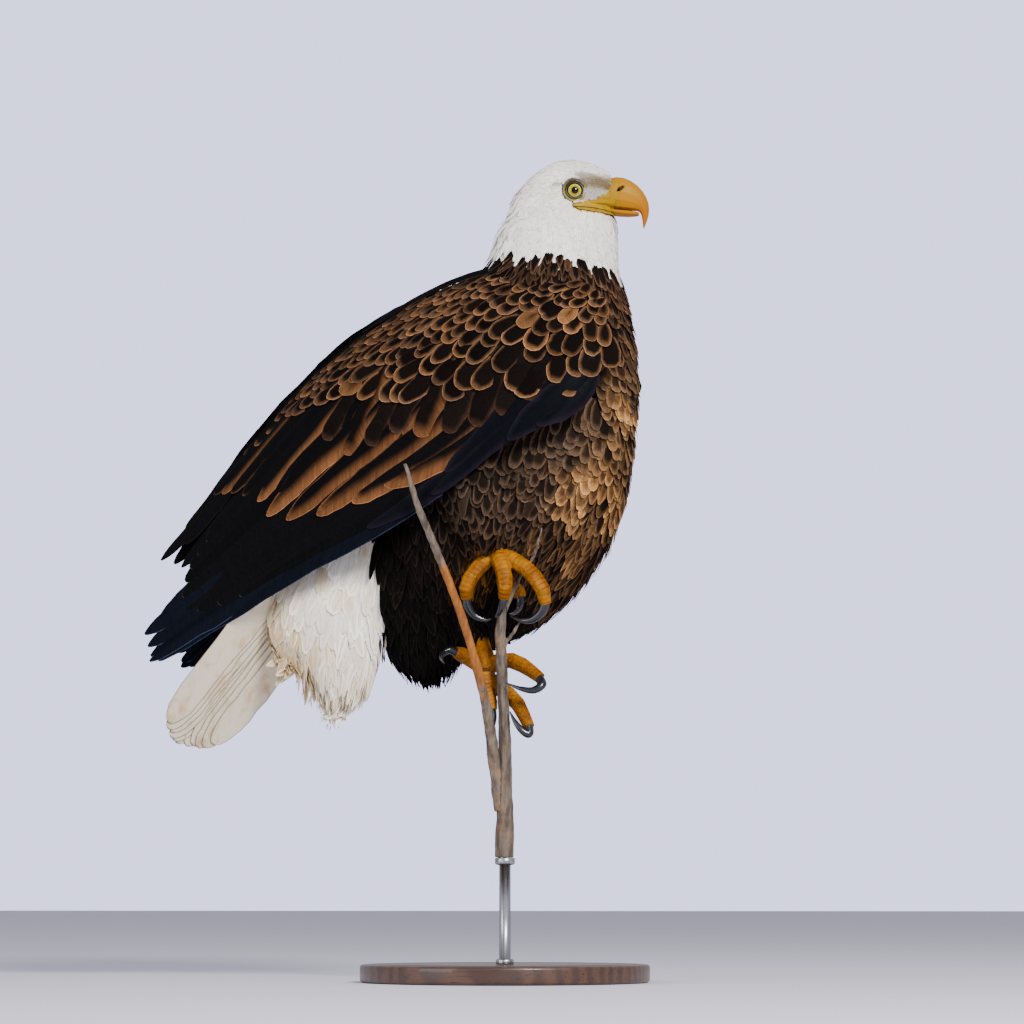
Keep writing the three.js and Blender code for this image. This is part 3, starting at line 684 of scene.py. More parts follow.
def darts(surface, spacing, keep, tries=6):
    """Chance places by area, thinned so that none is nearer to an earlier one than its spacing.

    spacing and keep are arrays over the surface's points."""
    q = surface.quads
    corner = surface.points[q]
    face = np.cross(corner[:, 2] - corner[:, 0], corner[:, 3] - corner[:, 1])
    area = np.linalg.norm(face, axis=1)
    share = area * keep[q].all(1) / spacing[q].mean(1) ** 2
    total = int(share.sum() / 2 * tries)
    pick = rng.choice(len(area), total, p=share / share.sum())
    shares = rng.random((2, total))
    order = np.argsort(corner[pick, 0, 2])
    roots = Roots(surface, pick[order], *shares[:, order])
    turn = rng.permutation(total)
    near = roots.take(spacing) ** 2
    points = roots.points.astype(np.float32)
    square = (points ** 2).sum(1)
    height, reach = points[:, 2], math.sqrt(near.max())
    floor_of = np.maximum.accumulate(height)
    roof_of = np.minimum.accumulate(height[::-1])[::-1]
    late, early = [], []
    for i in range(0, total, BLOCK):
        block = slice(i, i + BLOCK)
        first = np.searchsorted(floor_of, height[block].min() - reach)
        last = np.searchsorted(roof_of, height[block].max() + reach)
        apart = square[block, None] + square[first:last] - 2 * points[block] @ points[first:last].T
        rows, columns = np.nonzero(apart < near[block, None])
        ahead = turn[columns + first] < turn[rows + i]
        late.append(rows[ahead] + i)
        early.append(columns[ahead] + first)
    late, early = np.concatenate(late), np.concatenate(early)
    alive = np.ones(total, bool)
    kept = np.zeros(total, bool)
    while alive.any():
        blocked = np.zeros(total, bool)
        blocked[late[alive[late] & alive[early]]] = True
        won = alive & ~blocked
        kept |= won
        alive &= ~won
        alive[late[won[early]]] = False
        alive[early[won[late]]] = False
    return roots.only(kept)


ROOT_DEPTH, MIDDLE_LIFT = -0.6 * MM, 0.55  # a root is sunk by this, a middle lifted by this share


def level_way(normals, way):
    """The way made level with the surface: its part along the normal is taken off."""
    return unit(way - normals * (way * normals).sum(1, keepdims=True))


def laid(surface, roots, lie, long, lift, spread=0.0):
    """Three points of each feather on the surface: its root, its middle and its tip, and normals.

    Each half is walked along the lie, dropped onto the surface and lifted by its share of lift."""
    start, n0 = surface.foot(roots, ROOT_DEPTH)
    side = np.cross(n0, level_way(n0, lie))
    lie = lie + side * (rng.normal(size=(len(roots), 1)) * spread)
    half = long[:, None] / 2
    middle, n1 = surface.foot(start + level_way(n0, lie) * half, (lift * MIDDLE_LIFT)[:, None])
    tip, n2 = surface.foot(middle + level_way(n1, lie) * half, lift[:, None])
    return np.stack([start, middle, tip], 1), np.stack([n0, n1, n2], 1)


print("scatter ready")

# %% [markdown]
# One feather is a thin closed lens: a top skin and an under skin that share their rim. Hair strands
# would be lost in the export and flat cards would have no back, while a lens of a few dozen faces
# is solid from every side. The same function makes a hackle of four millimetres and a primary of
# thirty centimetres; only the outline, the number of columns and the length differ.


# %% Vanes
def outline_width(v, sharp, start):
    """Half width of a vane along it: a rounded oblong where sharp is 0 and a lance where it is 1.

    The oblong keeps its width up to start, and closes over the rest as a quarter of an ellipse."""
    swell = 0.45 + 0.55 * np.sin(np.minimum(v / 0.5, 1) * math.pi / 2)
    blunt = np.sqrt(np.maximum(1 - (np.clip(v - start, 0, 1) / (1 - start)) ** 2, 0.0))
    neck = 0.5 + 0.5 * np.sin(np.minimum(v / 0.35, 1) * math.pi / 2)
    return towards(swell * blunt, (1 - v ** 2.2) ** 0.9 * neck, sharp)


CREASE = 80  # degrees: the rim stays crisp and the vane's faces smooth
UNEVEN = 0.08  # chance share by which a vane's half width wavers
NARROWEST = 0.04  # of the width, at the root and the tip
TIP_THINNING = 0.7  # share of the thickness lost at the tip


def vanes(name, spines, lifts, long, wide, sharp, heart, fringe, band, finish, home,
          columns=5, rows=6, camber=0.15, thick=0.0005, patch=(0.003, 0.003), sides=1.0,
          lean=0, **links):
    """Closed lenses along spines.

    A spine is the quadratic through its three points, or a path of many. The top is
    spine + side·w·u - up·(camber·w·u²) and the under skin lies below it by
    thick·(1 - u²)(1 - thinning·v²), so both meet at the rim. home is each vane's place on the
    unwrapped skin, and patch the size of its patch there."""
    n, knots = spines.shape[:2]
    wide, sharp, band = (np.broadcast_to(value, n) for value in (wide, sharp, band))
    v = 1 - (1 - np.linspace(0, 1, rows)) ** 1.5
    v[-1] = 1 - 0.5 / rows ** 2
    if knots == 3:
        basis = np.stack([(1 - v) * (1 - 2 * v), 4 * v * (1 - v), v * (2 * v - 1)], 1)
    else:
        basis = np.maximum(1 - np.abs((v * (knots - 1))[:, None] - np.arange(knots)), 0)
    path = np.einsum("rk,nkc->nrc", basis, spines)
    up = unit(np.einsum("rk,nkc->nrc", basis, lifts))
    run = unit(np.gradient(path, axis=1))
    side = unit(np.cross(run, up))
    up = np.cross(side, run)
    start = np.clip(1 - 0.55 * wide / long, 0.5, 0.85)[:, None]
    half = outline_width(v[None], sharp[:, None], start) * wide[:, None] / 2
    half = half * (1 + UNEVEN * rng.uniform(-1, 1, half.shape) * (v > 0.3))
    half = np.maximum(half, NARROWEST * wide[:, None])
    u = np.linspace(-1, 1, columns)
    grid = path[:, :, None] + side[:, :, None] * (half[..., None] * u)[..., None]
    bow = camber * half[..., None] * u ** 2
    body = thick * (1 - u ** 2) * (1 - v[:, None] ** 2 * TIP_THINNING)
    top = grid - up[:, :, None] * (bow - body / 2)[..., None]
    below = slice(1, columns - 1, 1 if columns <= 5 else 2)  # a wide vane's underside is coarser
    under = grid[:, :, below] - up[:, :, None] * (bow[..., below] + body[:, below] / 2)[..., None]
    points = np.concatenate([top, under], 2)

    across = np.r_[u, u[below]]
    stride = len(across)
    first = np.arange(rows)[:, None] * stride
    upper = first + np.arange(columns)
    lower = np.c_[first, first + np.arange(columns, stride), first + columns - 1]
    rings = [np.concatenate([upper[row], lower[row][-2:0:-1]]) for row in (0, -1)]
    shift = (np.arange(n) * rows * stride)[:, None, None]
    quads = np.concatenate([sheet(upper), sheet(lower)[:, ::-1]]) + shift
    caps = np.stack([rings[0], rings[1][::-1]]) + shift

    to_side = 1 - np.abs(across)
    if lean:  # one side carries the fringe and the other only the pale rim, worn and painted as a highlight
        to_side = np.minimum(1 - lean * across, (1 + lean * across) * 6)
    to_tip = ((v[-1] - v) * long[:, None])[..., None]

    def each(value):
        """A value of every vane, row or column, at every point."""
        return np.broadcast_to(value, (n, rows, stride)).ravel()

    values = {
        "heart": np.repeat(np.broadcast_to(heart, (n, 3)), rows * stride, 0),
        "fringe": np.repeat(np.broadcast_to(fringe, (n, 3)), rows * stride, 0),
        "rim": each(np.minimum(half[..., None] * to_side * sides, to_tip * 0.8) / MM),
        "shaft": each(np.abs(across) * half[..., None] / MM),
        "along": each((v * long[:, None])[..., None] / MM),
        "band": each(band[:, None, None]),
        "chance": each(rng.uniform(0, 900, n)[:, None, None]),
    }
    maps = {"OFBake": np.stack([each(home[:, 0, None, None] + across / 2 * patch[0]),
                                each(home[:, 1, None, None] + (v[:, None] - 0.5) * patch[1])], -1)}
    return piece(name, points.reshape(-1, 3), [quads.reshape(-1, 4), caps.reshape(2 * n, -1)],
                 finish, maps, values, crease=CREASE, **links)


def around_axis(points, low, high):
    """The skin unwrapped: the angle round the upright axis across, and the height along."""
    x, y, z = (points / MM).T
    turn = np.arctan2(y - NECK_AXIS[1], -(x - NECK_AXIS[0])) / (2 * math.pi) + 0.5
    return np.stack([0.01 + 0.98 * turn, 0.01 + 0.98 * np.clip((z - low) / (high - low), 0, 1)], 1)


print("vane ready")

# %% [markdown]
# The skin itself lies inside the coat by the coat's depth, thin on the face and deep on the thighs,
# and carries the same colours, so that a gap between feathers never shows anything foreign. Down
# is soft and dull, so its finish is rough with a fine grain.

# %% Skin
WING_NODES = ["wing_coverts_right", "wing_coverts_left"]
EYE_FORWARD, EYE_SIDE, EYE_HEIGHT, EYE_RADIUS = 22.5, 18.5, 824.5, 11.5
LID_IN, LID_OUT = 8.2, 12.6  # from the eye's axis to the lids' edges


def near_line(points, first, last):
    """Distance in millimetres from each point to the straight line between two places."""
    run = last - first
    t = np.clip(((points / MM - first) @ run) / (run @ run), 0, 1)
    return np.linalg.norm(points / MM - first - t[:, None] * run, axis=1)


# lines on the face, each from and to a forward, side and height; the strength of the shade along
# it; and the distances within which it is full and past which it is gone
# grey on the lores between eye and gape, and a grey band beneath the mouth that is painted shade
GREY_LORE_AND_MOUTH_SHADE_LINES = [((34.5, 26, 823), (58, 14, 824), 0.75, 5.0, 13.0),
              ((30, 27, 803.5), (60, 12, 798.5), 0.7, 2.0, 8.0)]
# brown on the lores before the eye, and a dark line just above the eye that is the brow's painted shadow
BROWN_LORE_AND_BROW_SHADOW_LINES = [((34, 24, 836), (60, 13, 833), 0.9, 3.0, 11.0),
               ((10, 30, 833), (34, 25, 839), 0.6, 1.0, 4.5)]


def shade(points, lines):
    """The strongest of the lines' shades at each point, on both sides of the head."""
    most = np.zeros(len(points))
    for first, last, strength, full, gone in lines:
        for side in (1, -1):
            ends = (in_head(forward, across * side, height)
                    for forward, across, height in (first, last))
            away = near_line(points, *ends)
            most = np.maximum(most, strength * (1 - soft_step(full, gone, away)))
    return most[:, None]


WHITE = paint("#f7f5f0")
CREAM = paint("#e4dccb")
LORE_AND_MOUTH_SHADE_GREY, LORE_AND_BROW_SHADOW_BROWN = paint("#8f8a7c"), paint("#664d24")


def head_colours(points, tones):
    """White with a creamy or grey cast by chance, grey and brown on the lores before the eye, a painted
    shade beneath the mouth and the brow's painted shadow over the eye.
    """
    colour = towards(WHITE, CREAM, np.clip(tones, 0, 1)[:, None])
    colour = towards(colour, LORE_AND_MOUTH_SHADE_GREY, shade(points, GREY_LORE_AND_MOUTH_SHADE_LINES))
    return towards(colour, LORE_AND_BROW_SHADOW_BROWN, shade(points, BROWN_LORE_AND_BROW_SHADOW_LINES))


# forward, height of the upper and lower edges of the yellow skin at the mouth's corner
GAPE_TOP = np.array([(20.0, 808.0), (24.0, 810.8), (46.9, 816.0), (57.0, 822.5), (63.0, 833.0),
                     (66.0, 836.0)])
GAPE_FOOT = np.array([(20.0, 807.0), (27.0, 802.8), (45.0, 801.2), (58.0, 800.8), (66.0, 802.0)])


def gape_edges(forward):
    """The heights of both edges."""
    return (np.interp(forward, edge[:, 0], edge[:, 1]) for edge in (GAPE_TOP, GAPE_FOOT))


def in_gape(forward, height, spare=0.3):
    """True inside the yellow skin at the corner of the mouth, seen from the side."""
    top, foot = gape_edges(forward)
    return (forward > 20) & (height < top + spare) & (height > foot - spare)


# how deep the skin lies under the coat in millimetres, and the share of the head's own depth
SKIN_SPARE, UNDERTAIL_DEPTH, WING_DEPTH, DEEPEST, HEAD_SHARE = 3.0 * MM, 4.0, 3.0, 9.0, 0.7
hide = melted(FLESH + WING_NODES, SKIN_VOXEL, 4, 0.4 * MM)
zone = tract(hide.points, SKIN_SPARE)
head_coat, body_coat = (blended(table, hide.points) for table in (HEAD_TABLE, BODY_TABLE))
on_wings = (zone == BODY) & (hide.points[:, 0] < 60 * MM) & (hide.points[:, 2] > 500 * MM)
depth = np.select(
    [zone == HEAD, on_wings, zone == BODY],
    [head_coat[:, DEPTH] * HEAD_SHARE, WING_DEPTH, np.minimum(body_coat[:, DEPTH], DEEPEST)],
    UNDERTAIL_DEPTH)
skin_colour = np.select(
    [(zone == HEAD)[:, None], (zone == UNDERTAIL)[:, None]],
    [head_colours(hide.points, np.full(len(zone), 0.3)), np.broadcast_to(CREAM, (len(zone), 3))],
    body_coat[:, HEART] * 0.9)
forward, side, height = head_frame(hide.points)
yellow = in_gape(forward, height, 1.0) & (np.abs(side) > 4) & (forward < 70)
skin_colour = np.where(yellow[:, None], paint("#a07c00"), skin_colour)
skin_points = hide.points - hide.normals * depth[:, None] * MM
skin_finish, shader, place = material("down_skin")
fine = place.noise(300.0, 4.0, 0.7)
finished(shader, reading(place, "down", "Color").tint(fine * 0.6 + 0.7), 0.9, fine, 0.8, 0.6 * MM)
piece("skin", skin_points, [hide.quads], skin_finish, values={"down": skin_colour},
      stands_for=FLESH + WING_NODES, slot="brown_feathers")

# %% [markdown]
# The head and neck wear narrow white hackles. They are smallest round the bill and eye, where they
# lie like fine scales, and grow into long lances on the nape, where a few lift clear of the rest.

# %% White hackles
def bare(points):
    """True on skin that grows no feather: the eye's opening, the cere and the mouth's corner."""
    forward, side, height = head_frame(points)
    from_eye = np.hypot(forward - EYE_FORWARD, height - EYE_HEIGHT)
    eye = (from_eye < LID_OUT - 0.6) & (np.abs(side) > 12)
    beak = (forward > 61.5) & (height > 802)
    return eye | beak | in_gape(forward, height) & (np.abs(side) > 4)


HACKLE_CLOSE = 0.56  # how much closer the hackles stand than the table says
WILD_SHARE = 0.16  # of the hackles on the nape, which lift clear
NECK_TOP = 800.0  # the height that parts the head's piece from the neck's
outline_tract = tract(outline.points)
outline_head = blended(HEAD_TABLE, outline.points)
roots = darts(outline, outline_head[:, SPACING] * HACKLE_CLOSE * MM,
              (outline_tract == HEAD) & ~bare(outline.points))
white_roots = roots.points
rows = roots.take(outline_head)
long = rows[:, LONG] * MM * rng.uniform(0.8, 1.2, len(rows))
lift = rows[:, DEPTH] * MM * rng.uniform(0.28, 0.48, len(rows))
back = (white_roots[:, 0] / MM < 30) & (white_roots[:, 2] / MM > 778)
wild = back & (rng.random(len(rows)) < WILD_SHARE)
lift = np.where(wild, lift + rng.uniform(1, 4, len(rows)) * MM, lift)
spines, normals = laid(outline, white_roots, rows[:, LIE], long, lift, 0.12)
tones = rng.beta(1.0, 2.2, len(rows)) + 0.25 * ripple(white_roots, 16 * MM, 5).clip(0)
heart = head_colours(white_roots, tones)
fringe = np.minimum(heart * 1.04, 0.93)
homes = around_axis(white_roots, 735, 865)
high = white_roots[:, 2] / MM > NECK_TOP
for name, chosen in (("hackles_head", high), ("hackles_neck", ~high)):
    vanes(name, spines[chosen], normals[chosen], long[chosen],
          rows[chosen, WIDE] * MM * rng.uniform(1.2, 1.8, chosen.sum()),
          rng.uniform(0.3, 0.8, chosen.sum()), heart[chosen], fringe[chosen], 0.5, soft_white,
          homes[chosen], columns=3, rows=5, camber=0.05, thick=0.00018, slot="white_feathers")

# %% [markdown]
# The wing's outer face is a function of two numbers: how far back along the wing, and how far down
# from its upper edge. Rows of both edges and the bulge between them give it, and one further row
# carries the face past the wing's end, where the longest feathers point.

# %% Wing face
# top x, side, z; bottom x, side, z; bulge
WING_ROWS = np.array([
    (126, 58, 706, 137, 78, 645, 5),
    (82, 50, 733, 107, 100, 590, 22),
    (5, 38, 742, 46, 112, 557, 34),
    (-74, 16, 726, -39, 112, 500, 38),
    (-157, 1.5, 685, -120, 98, 465, 36),
    (-221, 1, 634, -199, 80, 434, 27),
    (-283, 2, 567, -271, 62, 399, 15),
    (-326, 8, 512, -326, 50, 372, 8),
    (-376, 16, 452, -374, 46, 342, 3),
], float)
LAST_ROW = len(WING_ROWS) - 1
FAR_WING_BACK = 14.0


def wing_face(row, down, side):
    """The point at that row and share of the way down, bowed out from edge to edge by a sine."""
    table = WING_ROWS.copy()
    if side > 0:
        share = FAR_WING_BACK * np.clip(1 - np.arange(len(table)) / 4, 0, None)
        table[:, 0] -= share
        table[:, 3] -= share
    at = between(table, np.asarray(row, float) / LAST_ROW)
    top, bottom, bulge = at[..., :3], at[..., 3:6], at[..., 6:]
    chord = bottom - top
    out = unit(np.stack([0 * chord[..., 0], -chord[..., 2], chord[..., 1]], -1))
    down = np.asarray(down, float)[..., None]
    bow = np.sin(math.pi * np.clip(down, 0, 1) ** 0.85)
    point = top + chord * down + out * bulge * bow
    return point * np.array([1, side, 1]) * MM


def wing_surface(side, long=260, wide=90):
    """The face as a grid of even points with outward normals."""
    row, down = np.meshgrid(np.linspace(0, LAST_ROW, long), np.linspace(-0.03, 1.04, wide),
                            indexing="ij")
    points = wing_face(row, down, side).reshape(-1, 3)
    quads = sheet(np.arange(long * wide).reshape(long, wide))
    made = Surface(points, quads if side > 0 else quads[:, ::-1])
    if (made.normals[:, 1] * side).mean() < 0:
        made.quads = made.quads[:, ::-1]
        made.normals = -made.normals
    made.row, made.down = row.ravel(), down.ravel()
    return made


def wing_home(row, down):
    """A place on the wing's face as a place on its map."""
    return np.stack([0.02 + 0.96 * row / LAST_ROW, 0.02 + 0.96 * down], 1)


wing = {word: wing_surface(side) for word, side in WINGS.items()}
for word, face in wing.items():
    print("wing", word, face.points.min(0).round(3), face.points.max(0).round(3))

# %% [markdown]
# The body's feathers follow: dark hearts and tan tips on the breast, ragged dark lances on the
# thighs and vent, and broad white ones under the tail. Those that a wing would hide are left out.

# %% Body feathers
def under_wing(points, normals):
    """True where a wing lies close over the coat.

    That is inside its outline from the side, well behind its front edge, and either on skin that
    faces it squarely or right behind its face."""
    hidden = np.zeros(len(points), bool)
    flat = np.array([1, 0, 1])
    for word, side in WINGS.items():
        face = wing_surface(side, 110, 44)
        k = Surface(face.points * flat, face.quads).nearest(points * flat)
        away = np.linalg.norm((points - face.points[k]) * flat, axis=1)
        row, down = face.row[k], face.down[k]
        inside = (row < LAST_ROW - 1.0) & (row > 0.7) & (down < 0.97) & (away < 2 * MM)
        behind = (face.points[k][:, 1] - points[:, 1]) * side
        facing = (normals[:, 1] * side > 0.6) & (behind > -4 * MM)
        close = (behind > -4 * MM) & (row > 1.3) & (down < 0.85)
        hidden |= inside & (facing | close) & (points[:, 1] * side > 0) & (normals[:, 2] < 0.45)
    return hidden


SPLIT = 545.0  # the height that parts the coat's upper and lower pieces
hidden = np.zeros(len(outline_tract), bool)
coloured = outline_tract != HEAD
hidden[coloured] = under_wing(outline.points[coloured], outline.normals[coloured])
# the gap between the tail's coverts and the vent: their faces there grow nothing
NOTCH_TOP, NOTCH_WIDE, NOTCH_FACING = 405.0, 16.0, 0.25
STRAY = 5.0  # a white tip further than this past the line is left out
notch = ((outline_tract == UNDERTAIL) & (outline.points[:, 2] < NOTCH_TOP * MM)
         & (outline.normals[:, 0] > NOTCH_FACING))
inside = outline.points[notch]
apart = np.linalg.norm(inside - brown_solid.points[brown_solid.nearest(inside)], axis=1)
hidden[notch] = apart < NOTCH_WIDE * MM


# height where the feathers of a tract begin to hang loose, and where most of them do
LOOSE = {BODY: (392.0, 345.0), UNDERTAIL: (395.0, 335.0)}
HANGING = 0.55  # how far towards straight the loosest hang
WAY_ALONG = np.array([0, 0.5, 1.0])  # root, middle and tip of a spine


def hung(spines, normals, roots, lie, long, its_tract):
    """Low under the body, tips leave the surface and hang straight down the lie, each by chance."""
    high, low = LOOSE[its_tract]
    share = 1 - soft_step(low, high, roots[:, 2] / MM)
    share = share * (roots[:, 0] < -30 * MM) * rng.random(len(roots)) ** 0.7 * HANGING
    share = share[:, None, None] * np.array([0, 0.6, 1.0])[:, None]
    straight = spines[:, :1] + unit(lie)[:, None] * (long[:, None] * WAY_ALONG)[..., None]
    level = unit(normals * np.array([1, 1, 0.02]))
    return towards(spines, straight, share), unit(towards(normals, level, share))


GOLD_AND_LIT_HEART, GOLD_AND_LIT_FRINGE = paint("#75502f"), paint("#c08c54")
STAIN_HEART, STAIN_FRINGE = paint("#cfa962"), paint("#dcc08a")
BODY_TONE = 0.38  # the brown coat is this much darker than its table


def dressed(name, places, its_tract, finish, slot, rows, spread, close, thick, camber):
    """Scatters, lays and builds the vanes of one tract from its table of places."""
    brown = its_tract == BODY
    table = blended(places, outline.points)
    roots = darts(outline, table[:, SPACING] * close * MM, (outline_tract == its_tract) & ~hidden)
    row = roots.take(table)
    n = len(roots)
    long = row[:, LONG] * MM * rng.uniform(0.82, 1.18, n)
    lift = row[:, DEPTH] * MM * rng.uniform(0.6, 1.0, n) * (1.0 if brown else 0.7)
    spines, normals = laid(outline, roots.points, row[:, LIE], long, lift, spread)
    spines, normals = hung(spines, normals, roots.points, row[:, LIE], long, its_tract)
    tone = rng.uniform(0.5, 1.3, (n, 1))
    tone = tone * BODY_TONE if brown else 1.0
    heart = row[:, HEART] * tone * (0.8 if brown else 1.0)
    fringe = row[:, FRINGE] * tone * rng.uniform(0.8, 1.3, (n, 1))
    pale = (rng.random(n) < row[:, PALE])[:, None]
    heart = np.where(pale, heart * 0.35 + fringe * 0.55, heart)
    # golden patches: tawny feathers, brightened as a painted highlight of the warm light on the breast
    off = (roots.points[:, None, [0, 2]] / MM - GOLDEN_AND_LIT_PATCHES[:, :2]) / GOLDEN_AND_LIT_PATCHES[:, 2:]
    clumps = soft_step(-0.5, 0.5, ripple(roots.points, 18 * MM, 8))
    gold = np.exp(-(off ** 2).sum(-1)).max(1) * rng.uniform(0.1, 1.3, n) * clumps
    gold = gold.clip(0, 1)[:, None] * brown
    stain = soft_step(-0.4, 0.9, ripple(roots.points, 34 * MM, 9)) * rng.uniform(0.1, 0.7, n)
    stain = stain[:, None] * (not brown)
    heart = towards(towards(heart, STAIN_HEART, stain), GOLD_AND_LIT_HEART, gold)
    fringe = towards(towards(fringe, STAIN_FRINGE, stain * 0.7), GOLD_AND_LIT_FRINGE, gold)
    arrays = (spines, normals, long, row[:, WIDE] * MM * rng.uniform(0.85, 1.15, n),
              np.clip(row[:, SHARP] + rng.uniform(-0.15, 0.15, n), 0, 1), heart, fringe,
              row[:, BAND] * rng.uniform(0.7, 1.3, n))
    homes = around_axis(roots.points, 320, 790)
    low = roots.points[:, 2] / MM <= SPLIT
    stray = (not brown) & (spines[:, 2] @ SLANT / MM > UNDERTAIL_FROM + STRAY)
    for word, chosen in (("upper", ~low & ~stray), ("lower", low & ~stray)):
        if chosen.any():
            vanes(name + "_" + word, *(array[chosen] for array in arrays), finish, homes[chosen],
                  rows=rows, sides=1.8, thick=thick, camber=camber, slot=slot)


dressed("feathers_body", BODY_TABLE, BODY, body_brown, "brown_feathers", rows=6, spread=0.14,
        close=0.72, thick=0.5 * MM, camber=0.15)
dressed("feathers_undertail", UNDERTAIL_TABLE, UNDERTAIL, tail_white, "undertail_feathers", rows=8,
        spread=0.26, close=0.66, thick=0.2 * MM, camber=0.04)

# %% [markdown]
# Scales of coverts cover the upper wing: rounded, nearly black, each rimmed in tan. They are small
# at the shoulder and largest along the lower border, where they spill over the long feathers.

# %% Covert scales
# row along the wing, share down at which the scales end
SCALE_BORDER = np.array([(0, 0.92), (0.4, 0.92), (1.7, 0.80), (2.4, 0.72), (3.1, 0.66), (3.7, 0.48),
                         (4.4, 0.38), (5.1, 0.24), (6.1, 0.15), (7.0, 0.10), (8.0, 0.05)])
# row along the wing, angle of the lie below level at the upper edge and at the lower one
LIE_ANGLE = np.array([(0, 66, 84), (1, 45, 74), (2, 30, 60), (3, 31, 48), (4, 40, 40), (5, 44, 36),
                      (6, 45, 33), (8, 45, 31)], float)
SCALE_DARK, SCALE_TAN = paint("#0c0705"), paint("#5f4430")
SCALE_GOLD = paint("#7c5533")


def wing_lie(row, down):
    """The direction in which wing feathers point: back, and down by the angle at that place."""
    upper, lower = (np.interp(row, LIE_ANGLE[:, 0], LIE_ANGLE[:, k]) for k in (1, 2))
    angle = np.radians(upper + (lower - upper) * down)
    return np.stack([-np.cos(angle), np.zeros_like(angle), -np.sin(angle)], -1)


def covert_scales(word, side):
    """Roots scattered over the upper wing, sized by their distance above the border."""
    face = wing[word]
    border = np.interp(face.row, SCALE_BORDER[:, 0], SCALE_BORDER[:, 1])
    share = np.clip(face.down / border, 0, 1)
    spacing = (8.5 + 11.5 * share ** 1.8) * (0.75 + 0.25 * np.clip(face.row, 0, 1.6) / 1.6)
    inside = (face.down > 0.035) & (face.down < border - 0.11) & (face.row < 7.6)
    roots = darts(face, spacing * MM, inside)
    row, down, share, apart = (roots.take(v) for v in (face.row, face.down, share, spacing * MM))
    n = len(roots)
    long = apart * rng.uniform(2.6, 3.1, n)
    wide = apart * rng.uniform(1.6, 1.95, n)
    inward = soft_step(0.0, 0.12, down)
    lift = (0.8 + 1.4 * inward + 5.2 * share ** 2 + rng.uniform(-0.4, 0.4, n)) * MM
    spines, normals = laid(face, roots.points, wing_lie(row, down), long, lift, 0.12)
    tone = rng.uniform(0.6, 1.5, (n, 1))
    bright = rng.random(n) < 0.03 + 0.13 * share ** 3
    gold = np.where(bright, 1.0, rng.random(n) ** 2 * 0.8)[:, None]
    shaded = (0.25 + 0.75 * inward)[:, None]
    fringe = towards(SCALE_TAN, SCALE_GOLD, gold) * rng.uniform(0.4, 1.1, (n, 1)) * shaded
    streaky = (1 - share) ** 1.5 * inward * soft_step(1.0, 3.5, row)
    band = rng.uniform(3.0, 5.5, n) + 3.5 * streaky + 9.0 * bright
    sharp = np.clip(0.02 + rng.uniform(-0.1, 0.2, n) + 0.5 * streaky, 0, 1)
    vanes("covert_scales_" + word, spines, normals, long, wide, sharp, SCALE_DARK * tone, fringe,
          band, wing_dark, wing_home(row, np.clip(down, 0, 1)), rows=8, camber=0.14, sides=1.4,
          slot="covert_feathers")


for word, side in WINGS.items():
    covert_scales(word, side)

# %% [markdown]
# The long feathers are few enough to place one by one, but a loop places a fan: it runs a root and
# a tip along two lines on the wing's face, and stacks each vane a little above the last. The
# primaries lie deepest, then the secondaries, the greater coverts, and the thumb's glossy plume.

# %% Long wing feathers
INK, NIGHT, EARTH, SMOKE = (paint(c) for c in ("#080708", "#080b13", "#0f0a08", "#26211f"))
RUST_BAND = 10.0  # millimetres of rust along the edge of the ones that have it
RUST, STEEL_EDGE, UMBER = paint("#6b4528"), paint("#1d2333"), paint("#38251a")
# name, count, root line (row, down), tip line (x, z), width, lift from-to, sharp,
# heart, fringe, band, the ones edged in rust
FANS = [
    ("primary", 6, [(3.0, 0.99), (4.2, 0.92), (5.2, 0.72)],
     [(-368, 336), (-379, 336), (-376, 346), (-387, 361), (-370, 380)], 32, (0.2, 1.2), 0.6,
     NIGHT, STEEL_EDGE, 0.8, ()),
    ("outer_tip", 3, [(5.6, 0.34), (5.2, 0.10)], [(-348, 436), (-376, 445), (-346, 461)],
     30, (1.2, 2.2), 0.7, INK, EARTH, 0.8, ()),
    ("secondary", 9, [(2.6, 0.97), (3.4, 0.70), (4.4, 0.34)],
     [(-272, 402), (-335, 388), (-340, 425), (-318, 462)], 34, (1.4, 2.8), 0.3,
     INK, SMOKE, 0.8, ()),
    ("rust_tertial", 5, [(1.6, 0.92), (2.4, 0.72), (3.1, 0.52)],
     [(-100, 508), (-150, 488), (-205, 478), (-240, 484)], 32, (2.9, 3.6), 0.5,
     INK, RUST, 13.0, (1, 3)),
    ("upper_tertial", 6, [(3.6, 0.40), (4.8, 0.10)], [(-232, 492), (-285, 512), (-318, 514)],
     28, (2.6, 3.2), 0.4, INK, UMBER, 2.4, (1, 4)),
    ("greater_covert", 9, [(1.2, 0.62), (2.6, 0.50), (3.8, 0.32)],
     [(52, 590), (18, 570), (-20, 560), (-62, 556), (-100, 562), (-136, 540), (-172, 560)], 30,
     (3.0, 3.4), 0.15, EARTH, UMBER, 5.0, (4, 7)),
    ("ridge", 13, [(0.9, 0.005), (5.9, 0.005)],
     [(0, 741), (-74, 726), (-157, 685), (-221, 634), (-283, 567), (-326, 512), (-350, 480)], 17,
     (1.2, 2.0), 0.45, INK, EARTH, 2.0, ()),
]


